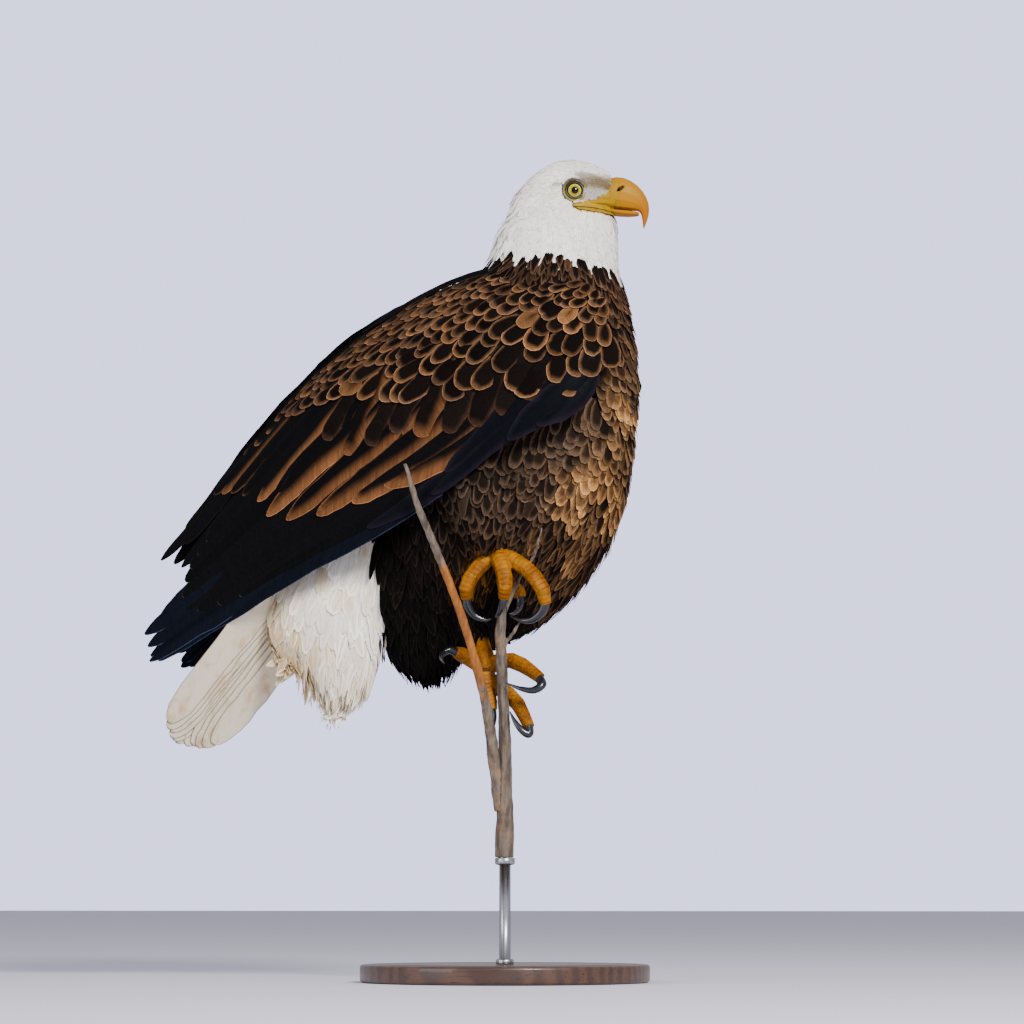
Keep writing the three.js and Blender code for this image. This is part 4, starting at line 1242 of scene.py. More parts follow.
def fan(face, side, count, roots, tips, lift, knots=9):
    """count spines from places along the root line to points along the tip line.

    A spine runs over the face from its root to the place that lies nearest its tip from the side,
    and what the tip then lacks is added as the square of the way along."""
    t = np.linspace(0, 1, count)
    s = np.linspace(0, 1, knots)[None, :, None]
    tip = between(tips, t) * MM
    flat = face.points[:, [0, 2]]
    k = ((tip[:, None] - flat) ** 2).sum(-1).argmin(1)
    lack = np.zeros((count, 3))
    lack[:, [0, 2]] = tip - flat[k]
    start = between(roots, t)
    place = start[:, None] * (1 - s) + np.stack([face.row[k], face.down[k]], 1)[:, None] * s
    path = wing_face(place[..., 0], place[..., 1], side)
    k = face.nearest(path.reshape(-1, 3)).reshape(path.shape[:2])
    normal = face.normals[k]
    high = (lift[0] + (lift[1] - lift[0]) * t)[:, None, None] * (0.15 + 0.85 * s ** 0.7)
    return path + lack[:, None] * s ** 2 + normal * high * MM, normal, start


def long_feathers(word, side):
    """Every fan of one wing, joined in one piece."""
    face = wing[word]
    parts = []
    for _, count, roots, tips, wide, lift, sharp, heart, fringe, band, rusty in FANS:
        spines, normals, start = fan(face, side, count, roots, tips, lift)
        rust = np.isin(np.arange(count), rusty)[:, None]
        edge = np.where(rust, RUST, fringe) * rng.uniform(0.7, 1.15, (count, 1))
        parts.append((spines, normals, np.linalg.norm(spines[:, -1] - spines[:, 0], axis=1),
                      np.full(count, wide * MM), np.full(count, sharp),
                      heart * rng.uniform(0.8, 1.25, (count, 1)), edge,
                      np.where(rust[:, 0], RUST_BAND, band), wing_home(*start.T)))
    joined = [np.concatenate(column) for column in zip(*parts)]
    vanes("long_feathers_" + word, *joined[:8], wing_dark, joined[8], columns=9, rows=16,
          camber=0.16, thick=0.0009, patch=(0.012, 0.03), lean=side, slot="flight_feathers",
          stands_for=("wing_flight_" + word,))


for word, side in WINGS.items():
    long_feathers(word, side)

# %% [markdown]
# The thumb's plume is the glossiest feather on the wing: a short stiff blade, blue-black, folded
# over the bend. A second row of primary coverts carries its line down to the long feathers.

# %% Thumb plumes
# root (row, down), tip (row, down), width, lift, sharp
THUMB = [
    ((0.50, 0.80), (2.15, 1.01), 34, 6.4, 0.5),
    ((0.62, 0.92), (1.75, 1.03), 28, 5.2, 0.5),
    ((1.5, 0.90), (3.1, 1.00), 28, 2.6, 0.6),
    ((1.4, 0.82), (2.9, 0.95), 28, 3.2, 0.6),
    ((2.3, 0.96), (4.0, 1.00), 24, 2.0, 0.6),
]
wing_gloss = plumage("thumb_plumage", 0.5, 0.08, streak=0.4, level=0.03, wear_and_highlight=1.6)


def thumb_plumes(word, side):
    """Five stiff blades, each from a root to a tip on the wing's face."""
    face = wing[word]
    s = np.linspace(0, 1, 9)
    spines, normals = [], []
    for root, tip, _, lift, _ in THUMB:
        points = wing_face(*np.outer(tip, s) + np.outer(root, 1 - s), side)
        normal = face.normals[face.nearest(points)]
        raised = lift * MM * (0.3 + 0.7 * np.sin(s * math.pi / 2))
        spines.append(points + normal * raised[:, None])
        normals.append(normal)
    spines, normals = np.array(spines), np.array(normals)
    wide, _, sharp = np.array([row[2:] for row in THUMB]).T
    n = len(THUMB)
    long = np.linalg.norm(spines[:, -1] - spines[:, 0], axis=1)
    home = np.stack([0.1 + 0.15 * np.arange(n), np.full(n, 0.5)], 1)
    vanes("thumb_plumes_" + word, spines, normals, long, wide * MM, sharp, paint("#06080d"),
          paint("#15101a"), 5.0, wing_gloss, home, columns=9, rows=14, camber=0.18, thick=0.0011,
          patch=(0.05, 0.1), slot="flight_feathers")


for word, side in WINGS.items():
    thumb_plumes(word, side)

# %% [markdown]
# Twelve tail feathers fan from one root. Seen from below, the outer ones lie over the inner, so
# each pair is set a little lower than the last, and their worn tips are stained and dusky.

# %% Tail
TAIL_ROLL = math.radians(30)
TAIL_ROOT, TAIL_TIP = np.array([-174.0, -8, 470]), np.array([-357.0, -12, 249])
TAIL_COUNT, TAIL_WIDTH, TAIL_SPREAD, TAIL_DROP = 12, 40.0, 68.0, 5.0


def tail_feathers():
    """Spines from a narrow root line to a curved tip line; s runs from -1 to 1 over the fan."""
    ahead = unit(TAIL_TIP - TAIL_ROOT)
    across = np.array([-ahead[2], 0, ahead[0]]) * math.sin(TAIL_ROLL) + np.array(
        [0, math.cos(TAIL_ROLL), 0])
    back = np.cross(ahead, across)
    back *= np.sign(back[2])
    s = np.linspace(-1, 1, TAIL_COUNT)[:, None]
    root = TAIL_ROOT + across * s * 17 - back * TAIL_DROP * np.abs(s)
    tip = (TAIL_TIP + across * s * TAIL_SPREAD / 2 - ahead * 18 * s * s
           - back * TAIL_DROP * np.abs(s) + ahead * rng.uniform(-3, 2, (TAIL_COUNT, 1)))
    v = np.linspace(0, 1, 9)[None, :, None]
    path = root[:, None] * (1 - v) + tip[:, None] * v + across * (s * 10)[:, None] * 4 * v * (1 - v)
    home = np.stack([0.1 + 0.066 * np.arange(TAIL_COUNT), np.full(TAIL_COUNT, 0.5)], 1)
    vanes("tail_feathers", path * MM, np.broadcast_to(back, path.shape).copy(),
          np.linalg.norm(tip - root, axis=1) * MM, TAIL_WIDTH * MM, 0.12, paint("#e8e0cd"),
          paint("#f1ead9"), 2.0, tail_long, home, columns=9, rows=18, camber=0.03, thick=0.0009,
          patch=(0.05, 0.4), slot="tail_feathers", stands_for=("tail",))


tail_long, shader, place = material("tail_long_plumage")
rim, shaft, along = (reading(place, key) for key in ("rim", "shaft", "along"))
mottle = place.noise(26.0, 4.0, 0.6)
stain = place.noise(60.0, 3.0, 0.6, (1, 1, 0.3))
barb = ((along - shaft * 0.8) * 6.0).math("SINE")
colour = stain.step(0.48, 0.78).mix(paint("#f0e4c9"), paint("#d3b273"))
colour = (mottle - along.step(170.0, 270.0) * 0.10).step(0.22, 0.36).mix(paint("#cbb88f"), colour)
colour = shaft.step(0.4, 1.3).mix(paint("#c79c58"), colour)
# painted shade: a darker line along each feather's rim, as the shade between overlapping feathers
colour = rim.step(0.2, 1.6).mix(paint("#857454"), colour)
finished(shader, colour.tint(barb * 0.03 + 0.97), 0.6,
         barb * 0.3 + shaft.step(0.4, 1.4) * -1.0 + mottle, 1.0, 0.2 * MM)
tail_feathers()

# %% [markdown]
# A bird's eye is a ball of which a disc shows. A sphere could be taken ready made, but its poles
# would lie anywhere; worked out from the angle off its own axis, one ring of it is the pupil's
# rim, one the iris, and the clear front can swell a little as a cornea does.

# %% Eyes
IRIS_ANGLE = math.radians(50)


def eye_axis(side):
    """The way an eye looks: out to its side, and a little forward."""
    return unit(head_way(0.05, side, -0.07))


def ball(name, side, finish):
    """Rings of points at even angles off the axis; the front swells a little inside the iris's angle."""
    axis = eye_axis(side)
    first = unit(np.cross(axis, [0, 0, 1]))
    second = np.cross(axis, first)
    angle = np.linspace(0.02, math.pi - 0.02, 44)[:, None]
    turn = np.linspace(0, 2 * math.pi, 56, endpoint=False)[None]
    bulge = 0.8 * np.clip(1 - angle / IRIS_ANGLE, 0, 1) ** 0.8 * (angle < IRIS_ANGLE)
    radius = (EYE_RADIUS - 0.3 + bulge)[..., None]
    way = (np.cos(angle)[..., None] * axis + np.sin(angle)[..., None] * (
        np.cos(turn)[..., None] * first + np.sin(turn)[..., None] * second))
    centre = in_head(EYE_FORWARD, EYE_SIDE * side, EYE_HEIGHT)
    points, quads, caps = tube(centre + way * radius)
    shape = (len(angle), turn.shape[1])
    off = np.broadcast_to(np.degrees(angle), shape).ravel()
    return piece(name, points, [quads, caps], finish, values={"off": off}, stands_for=(name,),
                 slot="eye")


eye_finish, shader, place = material("eye_iris")
off = reading(place, "off")
flecks = place.noise(900.0, 4.0, 0.7)
iris = off.step(18.0, 34.0).mix(paint("#8f7d10"), paint("#cbb92c"))
iris = flecks.step(0.35, 0.75).mix(iris.tint(0.75), iris)
colour = (off + (flecks - 0.5) * 1.2).step(17.2, 19.0).mix((0.002, 0.002, 0.002), iris)
colour = (off + (flecks - 0.5) * 3.0).step(34.5, 38.5).mix(colour, paint("#0d0a07"))
finished(shader, colour, 0.12, Specular_IOR_Level=0.15, Coat_Weight=0.25, Coat_Roughness=0.02)
for word, side in WINGS.items():
    ball("eye_" + word, side, eye_finish)

# %% [markdown]
# Round each eye and at the mouth's corner the skin is bare. Its pieces are patches that follow the
# head's flank: the flank is fitted as a smooth polynomial, and each patch is a closed slab on it,
# with the lid's roll, the brow's ridge or the mouth's groove added to its outer face.

# %% Lids and the mouth's corner
forward, side, height = head_frame(outline.points)
turned_out = (outline.normals @ head_way(0, 1, 0)) * np.sign(side)
on_flank = ((forward > 4) & (forward < 63) & (height > 797) & (height < 846) & (turned_out > 0.25)
            & (np.hypot(forward - EYE_FORWARD, height - EYE_HEIGHT) > LID_OUT))


def powers(forward, height, most=4):
    """Every product of powers up to the most, of measures brought near one."""
    a, b = (forward - 34) / 30, (height - 820) / 25
    return np.stack([a ** i * b ** j for i in range(most + 1) for j in range(most + 1 - i)], -1)


FLANK = np.linalg.lstsq(powers(forward[on_flank], height[on_flank]), np.abs(side[on_flank]),
                        rcond=None)[0]
fit = powers(forward[on_flank], height[on_flank]) @ FLANK - np.abs(side[on_flank])
print("flank fitted within", round(float(np.abs(fit).mean()), 2), "mm on average")


def slab(name, side, forward, height, raise_by, thick, finish, round_shut, **values):
    """A closed slab over a grid of forward and height: the outer face is raised, the inner sunk."""
    forward, height = np.broadcast_arrays(forward, height)
    flank = powers(forward, height) @ FLANK
    faces = [in_head(forward, (flank + raise_by) * side, height),
             in_head(forward, (flank + raise_by - thick) * side, height)]
    index = np.arange(forward.size).reshape(forward.shape)
    inner = index + forward.size
    if round_shut:
        index, inner = (np.concatenate([g, g[:1]]) for g in (index, inner))

    def wall(line, under):
        return np.stack([line[:-1], under[:-1], under[1:], line[1:]], -1)

    quads = [sheet(index), sheet(inner)[:, ::-1], wall(index[:, 0], inner[:, 0]),
             wall(index[:, -1], inner[:, -1])[:, ::-1]]
    if not round_shut:
        quads += [wall(index[0], inner[0])[:, ::-1], wall(index[-1], inner[-1])]
    points = np.concatenate([face.reshape(-1, 3) for face in faces]) * MM
    values = {key: np.tile(np.broadcast_to(value, forward.shape).ravel(), 2)
              for key, value in values.items()}
    piece(name, points, [np.concatenate(quads)], finish, values=values, slot="cere_skin")


def lid(name, side, finish):
    """A ring from the eyeball out to the feathers, with a brow that overhangs it above."""
    turn = np.linspace(0, 2 * math.pi, 96, endpoint=False)[:, None]
    across = np.linspace(0, 1, 12)[None]
    above = np.clip(np.sin(turn - 0.25), 0, 1)
    inner = LID_IN - 0.9 * above ** 2 - 0.3 * np.clip(-np.sin(turn), 0, 1)
    radius = inner + (LID_OUT + 0.8 - inner) * across
    forward = EYE_FORWARD + radius * np.cos(turn) * (1 + 0.06 * np.cos(turn))
    height = EYE_HEIGHT + radius * np.sin(turn)
    flank = powers(forward, height) @ FLANK
    ball = EYE_SIDE + np.sqrt(np.maximum(EYE_RADIUS ** 2 - radius ** 2, 1.0)) + 0.35
    join = soft_step(0.0, 0.75, across)
    roll = 0.7 * np.sin(math.pi * across) + 1.5 * above ** 2 * across ** 1.5 * (1 - across) * 3
    up = (ball - flank) * (1 - join) + roll - 0.3 * across
    slab(name, side, forward, height, up, 1.6, finish, True, across=across, above=above)


def gape(name, side, finish):
    """The yellow skin from the mouth's corner to the cere, with the mouth's line pressed in."""
    forward = np.linspace(20.3, 64.5, 60)[:, None]
    share = np.linspace(0, 1, 26)[None]
    top, foot = gape_edges(forward)
    height = foot + (top - foot) * share
    line = 805.2 + 0.9 * np.sin((forward - 20) / 44 * math.pi) - 0.03 * (forward - 20)
    groove = np.exp(-((height - line) / 0.75) ** 2) * soft_step(20.0, 24.0, forward)
    rim = np.minimum(share, 1 - share) * (top - foot)
    up = 0.7 * soft_step(0.0, 1.6, rim) - 0.9 * groove + 0.2 * np.sin(forward * 0.9) * (1 - share)
    up = up - 3.0 * soft_step(59.5, 64.5, forward) * (1 - share)
    slab(name, side, forward, height, up - 0.1, 1.8, finish, False, groove=groove, rim=rim)


lid_finish, shader, place = material("lid_skin")
across, above = reading(place, "across"), reading(place, "above")
grain = place.cells(900.0)
yellow = grain.step(0.0, 0.8).mix(paint("#5d5216"), paint("#8d7e28"))
colour = (across + (grain - 0.4) * 0.1).step(0.36, 0.52).mix(paint("#14100b"), yellow)
# the outer ring of bare skin is darker, and on top it reaches further in as the brow's painted shadow
outer = (across + above * 0.45 + (grain - 0.4) * 0.1).step(0.74, 0.98)
finished(shader, outer.mix(colour, paint("#4d4434")), 0.45, grain, 0.6, 0.25 * MM)

gape_finish, shader, place = material("gape_skin")
groove, rim = reading(place, "groove"), reading(place, "rim")
cloud = place.noise(120.0, 4.0, 0.6)
colour = cloud.step(0.3, 0.75).mix(paint("#896900"), paint("#a98400"))
colour = (1.0 - rim.step(0.0, 1.3)).mix(colour, paint("#8d7626"))
colour = groove.step(0.25, 0.8).mix(colour, paint("#2a1c08"))
finished(shader, colour, 0.5, cloud, 0.6, 0.3 * MM, Specular_IOR_Level=0.25)
for word, side in WINGS.items():
    lid("lid_" + word, side, lid_finish)
    gape("gape_" + word, side, gape_finish)

# %% [markdown]
# Bill and cere keep the frame's shape, melted smooth at under a millimetre. Horn is a hard keratin
# coat, translucent at its edges, with faint growth lines; the cere is a waxy bare skin at its base.

# %% Bill
NOSTRIL = (71.6, 829.5)  # forward and height of the slit's middle
BILL_VOXEL = 0.75 * MM
BILL_BACK = 76.0  # the backs of the bill's pieces lie behind this


def nostril_depth(points):
    """1 in the slanting slit on each side of the cere, falling to 0 round it."""
    forward, side, height = head_frame(points)
    ahead, above = forward - NOSTRIL[0], height - NOSTRIL[1]
    along, across = ahead * 0.77 + above * 0.64, ahead * 0.64 - above * 0.77
    reach = np.sqrt((along / 5.6) ** 2 + (across / 2.0) ** 2)
    return (1 - soft_step(0.5, 1.3, reach)) * (np.abs(side) > 3)


def horn(name, finish, slot, root):
    """One piece of the bill, its back drawn inwards by root so that no gap shows before it."""
    made = melted([name], BILL_VOXEL, 3, 0.15 * MM)
    dip = nostril_depth(made.points)
    points = made.points - made.normals * (dip * 1.8 * MM)[:, None]
    forward, _, height = head_frame(points)
    ahead = head_way(1, 0, 0)
    back = soft_step(0.35, 0.8, -(made.normals @ ahead)) * (forward < BILL_BACK)
    points = points - (back * root * MM)[:, None] * ahead  # its flat back is drawn under the last
    hook = soft_step(80, 104, forward) * 0.6 + soft_step(822, 790, height) * 0.6
    piece(name + "_shape", points, [made.quads], finish,
          values={"dip": dip, "hook": np.clip(hook, 0, 1)}, stands_for=(name,), slot=slot)


horn_finish, shader, place = material("bill_horn")
hook = reading(place, "hook")
lines = place.noise(90.0, 3.0, 0.6, (1, 1, 4))
cloud = place.noise(40.0, 3.0)
colour = hook.mix(paint("#9f6c00"), paint("#9d5500"))
colour = (cloud.step(0.35, 0.8) * 0.35).mix(colour, paint("#a57500"))
colour = (lines.step(0.55, 0.8) * 0.35).mix(colour, paint("#8a4d00"))
colour = reading(place, "dip").step(0.25, 0.8).mix(colour, paint("#2b1a06"))
finished(shader, colour, lines * 0.2 + 0.35, lines + cloud * 0.5, 0.7, 0.2 * MM,
         Specular_IOR_Level=0.12)

cere_finish, shader, place = material("cere_skin")
dip = reading(place, "dip")
pores = place.cells(700.0)
cloud = place.noise(70.0, 3.0)
colour = cloud.step(0.3, 0.8).mix(paint("#8d6900"), paint("#9b7600"))
colour = (pores.step(0.0, 0.5) * 0.5 + 0.5).mix(paint("#94700c"), colour)
colour = dip.step(0.25, 0.8).mix(colour, paint("#3b2409"))
finished(shader, colour, cloud * 0.2 + 0.4, pores * 0.6 + cloud, 0.7, 0.3 * MM,
         Specular_IOR_Level=0.12)
horn("cere", cere_finish, "cere_skin", 5.0)
horn("bill_upper", horn_finish, "bill_horn", 1.5)
horn("bill_lower", horn_finish, "bill_horn", 3.0)

# %% [markdown]
# The feet are melted too, toes and shank in one skin. Broad plates run across the top of each toe,
# raised from the distance along the toe's own path, and fine beads cover the rest.

# %% Feet
# of each toe: the points of its own path, and those of its talon
TOES = {
    "right": {
        "inner": ([(-4, -46, 438), (-19, -56, 419), (-26, -57, 405), (-27, -52, 394)],
                  [(-26.5, -53, 396), (-26, -52, 387), (-20, -49, 377), (-10, -46, 372),
                   (-3, -43, 373)]),
        "middle": ([(4, -48, 442), (14, -60, 422), (17, -62, 407), (14, -56, 393)],
                   [(14.4, -57, 395), (12, -55, 387), (8, -51, 380), (4, -48, 376),
                    (1, -44, 374)]),
        "outer": ([(12, -46, 438), (39, -56, 422), (55, -57, 402), (57, -51, 387)],
                  [(57, -52, 388), (52, -50, 378), (41, -47, 371), (29, -44, 371),
                   (16, -40, 376)]),
        "hind": ([(1, -36, 433), (9, -22, 423), (18, -17, 411), (21, -18, 397)],
                 [(21, -18, 399.5), (21.3, -19, 391), (19, -22, 384), (16, -27, 380),
                  (13, -31, 379)]),
    },
    "left": {
        "inner": ([(-17, -11, 320), (-17, -12, 306), (-13, -14, 292), (-10, -16, 280)],
                  [(-10.2, -16, 282.5), (-8, -19, 274), (-7, -23, 267), (-6, -27, 262),
                   (-4, -30, 260)]),
        "middle": ([(-17, -10, 314), (0, -7, 301), (15, -11, 289), (32, -22, 262)],
                   [(31, -21, 264), (32, -25, 255), (25, -28, 259), (18, -28, 268),
                    (12.5, -27, 278)]),
        "outer": ([(-17, -10, 325), (2, -10, 333), (22, -15, 327), (45, -27, 312)],
                  [(43, -26, 312.7), (48, -32, 305), (40, -36, 299), (26, -37, 301),
                   (11, -35, 307)]),
        "hind": ([(-20, -10, 325), (-33, -10, 333), (-41, -16, 338), (-47, -24, 341)],
                 [(-46.2, -22.5, 340.7), (-52, -28, 343), (-57, -33, 340), (-58, -39, 334),
                  (-54, -42, 328)]),
    },
}
PLATE = 4.6  # millimetres from one plate to the next


def along_toes(points, word):
    """Distance along the nearest toe, and how squarely a point lies on its outer side."""
    best = np.full(len(points), np.inf)
    run, outer = np.zeros(len(points)), np.zeros(len(points))
    for path, _ in TOES[word].values():
        line = between(path, np.linspace(0, 1, 80))
        step = np.r_[0, np.cumsum(np.linalg.norm(np.diff(line, axis=0), axis=1))]
        away = ((points[:, None] / MM - line) ** 2).sum(-1)
        k = away.argmin(1)
        rise = line[40] - (line[0] + line[-1]) / 2
        rise = unit(rise + np.array([0, -1.0, 0.6]) * 4.0)
        square = (unit(points / MM - line[k]) * rise).sum(1)
        near = away.min(1) < best
        best = np.where(near, away.min(1), best)
        run = np.where(near, step[k], run)
        outer = np.where(near, square, outer)
    return run, outer


def foot(word):
    """Shank and toes melted together, with plates across the tops and chance wear."""
    nodes = ["shank_" + word] + [f"toe_{word}_{toe}" for toe in TOES[word]]
    made = melted(nodes, 0.9 * MM, 3, 0.3 * MM)
    run, outer = along_toes(made.points, word)
    plates = np.abs(np.sin(run / PLATE * math.pi)) ** 0.5
    top = soft_step(0.1, 0.6, outer)
    wear = 0.5 + 0.5 * ripple(made.points, 9 * MM, 21).clip(-1, 1)
    points = made.points + made.normals * ((plates - 0.7) * 0.7 * top * wear * MM)[:, None]
    piece("foot_" + word, points, [made.quads], foot_finish,
          values={"plates": towards(0.8, plates, top), "top": top}, stands_for=nodes,
          slot="foot_skin")


foot_finish, shader, place = material("foot_skin")
plates, top = reading(place, "plates"), reading(place, "top")
beads = place.cells(420.0)
cloud = place.noise(55.0, 4.0, 0.6)
colour = cloud.step(0.3, 0.75).mix(paint("#744000"), paint("#a86b00"))
colour = (beads.step(0.15, 0.75) * (1.0 - top) * 0.7).mix(colour, paint("#54300a"))
colour = (1.0 - plates.step(0.15, 0.6)).mix(colour, paint("#452809"))
colour = place.noise(130.0, 5.0, 0.7).step(0.58, 0.75).mix(colour, paint("#8c6a30"))
finished(shader, colour, cloud * 0.25 + 0.35, plates + (1.0 - beads) * (1.0 - top) * 0.8, 0.8,
         0.5 * MM, Specular_IOR_Level=0.12)
for word in WINGS:
    foot(word)

# %% [markdown]
# Talons taper from a socket in the toe to a point. A round profile is carried along each curved
# path; it is a little deeper than wide, and shines like polished slate.

# %% Talons
TALON_RADII = np.array([5.0, 4.8, 3.8, 2.4, 0.6])[:, None]


TALON_FLATNESS = 0.10  # how much narrower than deep a talon is


def carried(path, radii, count=40, around=24):
    """Rings of points round a spline, in the frame of its own tangent and a steady side vector.

    Across that vector the radius is full, and along it less by the flatness."""
    t = np.linspace(0, 1, count)
    line = between(path, t)
    run = unit(np.gradient(line, axis=0))
    normal = unit(np.cross(line[count // 2] - line[0], line[-1] - line[0]))
    first = unit(np.cross(run, normal))
    second = np.cross(run, first)
    turn = np.linspace(0, 2 * math.pi, around, endpoint=False)
    reach = between(radii, t) * (1 - TALON_FLATNESS * np.sin(turn) ** 2)
    return line[:, None] + reach[..., None] * (np.cos(turn)[:, None] * first[:, None]
                                               + np.sin(turn)[:, None] * second[:, None])


def talons(word):
    """Four tubes as one piece: each one's faces are shifted past the points before it."""
    parts = [tube(carried(path, TALON_RADII)) for _, path in TOES[word].values()]
    points, quads, caps = zip(*parts)
    starts = np.r_[0, np.cumsum([len(p) for p in points])[:-1]]
    faces = [np.concatenate([block + first for block, first in zip(blocks, starts)])
             for blocks in (quads, caps)]
    names = [f"talon_{word}_{toe}" for toe in TOES[word]]
    piece("talons_" + word, np.concatenate(points), faces, talon_finish, stands_for=names,
          slot="talon_horn")


talon_finish, shader, place = material("talon_horn")
grain = place.noise(120.0, 4.0, 0.6)
slate = grain.step(0.35, 0.8).mix(paint("#06080c"), paint("#171c25"))
finished(shader, slate, grain * 0.25 + 0.16, grain, 0.5, 0.15 * MM, Coat_Weight=0.4)
for word in WINGS:
    talons(word)

# %% [markdown]
# The perch is dead wood: grey bark that splits along the grain, with an orange-brown stretch where
# it has peeled on the side stem. The stems are melted from the frame and roughened by ripples that
# are long along the stem and short across it.

# %% Perch
PEEL_BLUR = 8  # millimetres over which the bark gives way to bare wood


def stem(name, peeled=None):
    """One stem, rippled along its grain and knotted; peeled is a range of heights without bark."""
    made = melted([name], 1.3 * MM, 2)
    points = made.points
    grain = ripple(points * np.array([1, 1, 0.16]), 2.6 * MM, 11) * 0.35
    knots = ripple(points, 16 * MM, 12).clip(0.2) * 0.5
    bare_wood = np.zeros(len(points))
    if peeled:
        z = points[:, 2] / MM + 6 * ripple(points, 12 * MM, 4)
        low, high = (soft_step(end - PEEL_BLUR, end + PEEL_BLUR, z) for end in peeled)
        bare_wood = low * (1 - high)
    points = points + made.normals * ((grain * (1 - 0.6 * bare_wood) + knots - 0.3) * MM)[:, None]
    piece(name + "_bark", points, [made.quads], bark_finish, values={"peeled": bare_wood},
          stands_for=(name,), slot="bark")


bark_finish, shader, place = material("bark")
grain = place.noise(160.0, 5.0, 0.7, (1, 1, 0.14))
cloud = place.noise(30.0, 4.0, 0.6)
flake = place.cells(120.0, "DISTANCE_TO_EDGE")
colour = grain.step(0.3, 0.7).mix(paint("#382d25"), paint("#786a5b"))
colour = cloud.step(0.5, 0.75).mix(colour, paint("#8a6a4d"))
orange = grain.step(0.3, 0.75).mix(paint("#683808"), paint("#a8661a"))
colour = reading(place, "peeled").mix(colour, orange)
finished(shader, colour, grain * 0.2 + 0.7, grain + flake * 0.4, 1.0, 0.8 * MM)
stem("perch_stem")
stem("perch_side_stem", (300, 425))
stem("perch_twig")

# %% [markdown]
# The stand is plain: a turned disc of dark wood and a steel rod. A profile turned about the upright
# axis gives both, with the edges rounded as a turner would leave them.

# %% Stand
def turned(profile, around=120):
    """A closed profile of radius and height turned about Z; both ends meet the axis in a cap."""
    turn = np.linspace(0, 2 * math.pi, around, endpoint=False)
    radius, height = np.array(profile, float).T[..., None]
    return tube(np.stack(np.broadcast_arrays(radius * np.cos(turn), radius * np.sin(turn), height),
                         -1))


BASE_RADIUS, BASE_HEIGHT, BASE_EDGE = 150.0, 18.0, 3.0
ROD_RADIUS, PERCH_FOOT = 6.0, 128.0
bend = np.linspace(0, math.pi / 2, 7)
inset = BASE_RADIUS - BASE_EDGE
lower = [(inset + BASE_EDGE * math.sin(a), BASE_EDGE - BASE_EDGE * math.cos(a)) for a in bend]
upper = [(inset + BASE_EDGE * math.cos(a), BASE_HEIGHT - BASE_EDGE + BASE_EDGE * math.sin(a))
         for a in bend]
bead = [(BASE_RADIUS - 14 + 1.2 * math.cos(a), BASE_HEIGHT - 0.9 * math.sin(a))
        for a in np.linspace(0, math.pi, 7)]
disc = [(1.0, 0.0), (70, 0.0), *lower, *upper, *bead, (80, BASE_HEIGHT), (9, BASE_HEIGHT),
        (1.0, BASE_HEIGHT)]
wood_finish, shader, place = material("stand_wood")
warp = place.noise(7.0, 3.0, 0.5, (1, 8, 8))
rings = place.node("TexWave", {"wave_type": "BANDS", "bands_direction": "Y"}, Vector=place,
                   Scale=26.0, Distortion=5.0, Detail=3.0)
grain = Field(place.tree, rings.outputs["Fac"])
pores = place.noise(420.0, 3.0, 0.6, (0.06, 1, 1))
colour = (grain * 0.6 + warp * 0.4).step(0.2, 0.8).mix(paint("#3a2417"), paint("#4d3221"))
colour = pores.step(0.55, 0.7).mix(colour, paint("#22140c"))
finished(shader, colour, pores * 0.2 + 0.32, pores * -1.0 + grain * 0.3, 0.5, 0.2 * MM,
         Coat_Weight=0.25)
points, quads, caps = turned(disc)
piece("stand_disc", points, [quads, caps], wood_finish, stands_for=("stand_base",),
      slot="stand_wood")

steel_finish, shader, place = material("stand_steel")
brushed = place.noise(900.0, 2.0, 0.5, (1, 1, 0.02))
bright = brushed.step(0.3, 0.7).mix(paint("#8c8e92"), paint("#b5b7ba"))
finished(shader, bright, brushed * 0.15 + 0.26, brushed, 0.3, 0.05 * MM, Metallic=1.0)
collar = [(9.0, BASE_HEIGHT + 0.3), (9.4, BASE_HEIGHT + 0.9), (9.4, BASE_HEIGHT + 4.4),
          (8.6, BASE_HEIGHT + 5.4), (ROD_RADIUS, BASE_HEIGHT + 5.8)]
head = [(ROD_RADIUS, PERCH_FOOT - 8.0), (9.6, PERCH_FOOT - 7.2), (10.4, PERCH_FOOT - 6.2),
        (10.4, PERCH_FOOT - 0.9), (9.8, PERCH_FOOT - 0.4)]
points, quads, caps = turned([(1.0, BASE_HEIGHT + 0.3), *collar, (ROD_RADIUS, 70.0), *head,
                              (1.0, PERCH_FOOT - 0.4)], 64)
piece("stand_rod_steel", points, [quads, caps], steel_finish, stands_for=("stand_rod",),
      slot="stand_steel")

# %% [markdown]
# A studio for one bird: a wide pale floor, a pale sky all round, one large soft lamp from the
# camera's right and above, and a weaker one from the left. Nothing here is part of the object.

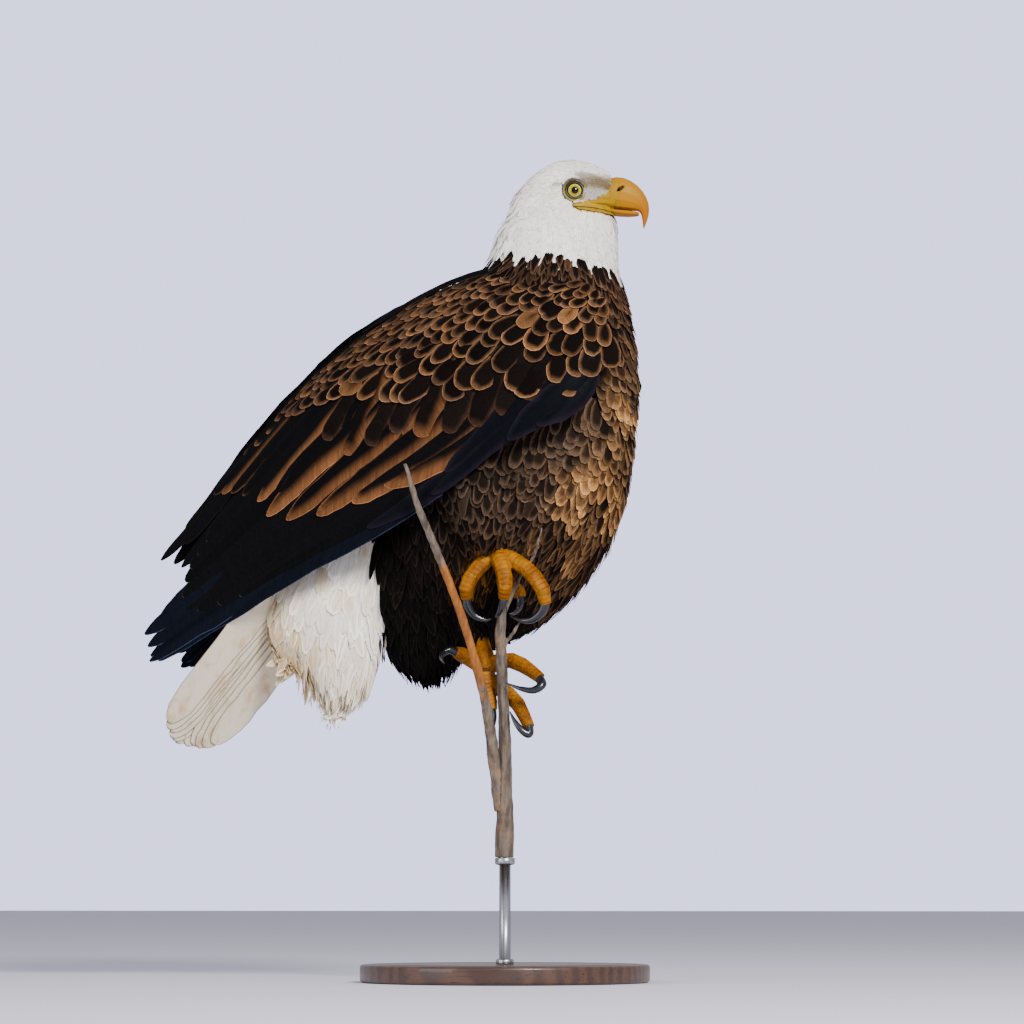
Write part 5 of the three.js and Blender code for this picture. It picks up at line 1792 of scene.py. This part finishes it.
# %% Floor, sky and lamps
FLOOR_HALF, FLOOR_DROP = 30.0, -0.0005  # it lies a hair under the stand
floor_mesh = bpy.data.meshes.new("floor")
floor_mesh.from_pydata([(x * FLOOR_HALF, y * FLOOR_HALF, FLOOR_DROP)
                        for x, y in ((-1, -1), (1, -1), (1, 1), (-1, 1))], [], [(0, 1, 2, 3)])
floor = bpy.data.objects.new("floor", floor_mesh)
bpy.context.scene.collection.objects.link(floor)
floor_finish, shader, place = material("floor_paper")
cloud = place.noise(0.6, 2.0)
finished(shader, cloud.mix(paint("#cfcfdb"), paint("#d6d6e1")), 0.95)
floor_mesh.materials.append(floor_finish)
floor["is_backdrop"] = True

world = bpy.data.worlds.new("sky")
world.use_nodes = True
sky = world.node_tree
glow = sky.nodes["Background"]
seen = sky.nodes.new("ShaderNodeBackground")
for light, colour, strength in ((glow, "#d9d8e4", 0.85), (seen, "#cbccf2", 2.5)):
    light.inputs["Color"].default_value = (*paint(colour), 1.0)
    light.inputs["Strength"].default_value = strength
ray = sky.nodes.new("ShaderNodeLightPath")
choice = sky.nodes.new("ShaderNodeMixShader")
sky.links.new(ray.outputs["Is Camera Ray"], choice.inputs[0])
sky.links.new(glow.outputs[0], choice.inputs[1])
sky.links.new(seen.outputs[0], choice.inputs[2])
sky.links.new(choice.outputs[0], sky.nodes["World Output"].inputs["Surface"])
bpy.context.scene.world = world


def lamp(name, place, aim, size, power, tint):
    """A square lamp of that size in metres and power in watts, turned to its aim."""
    data = bpy.data.lights.new(name, "AREA")
    data.size = size
    data.energy = power
    data.color = tint
    made = bpy.data.objects.new(name, data)
    made.location = place
    made.rotation_euler = looking(place, aim)
    bpy.context.scene.collection.objects.link(made)


lamp("key", (2.3, -3.0, 2.4), (0.0, 0.0, 0.55), 1.0, 260.0, (1.0, 0.97, 0.93))
lamp("fill", (-2.4, -2.8, 1.2), (0.0, 0.0, 0.5), 2.0, 60.0, (0.93, 0.95, 1.0))
print("studio ready")

# %% [markdown]
# Last, the dressed model is measured.

# %% Sizes
low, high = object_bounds()
print("visual", [round(v, 3) for v in low], [round(v, 3) for v in high])
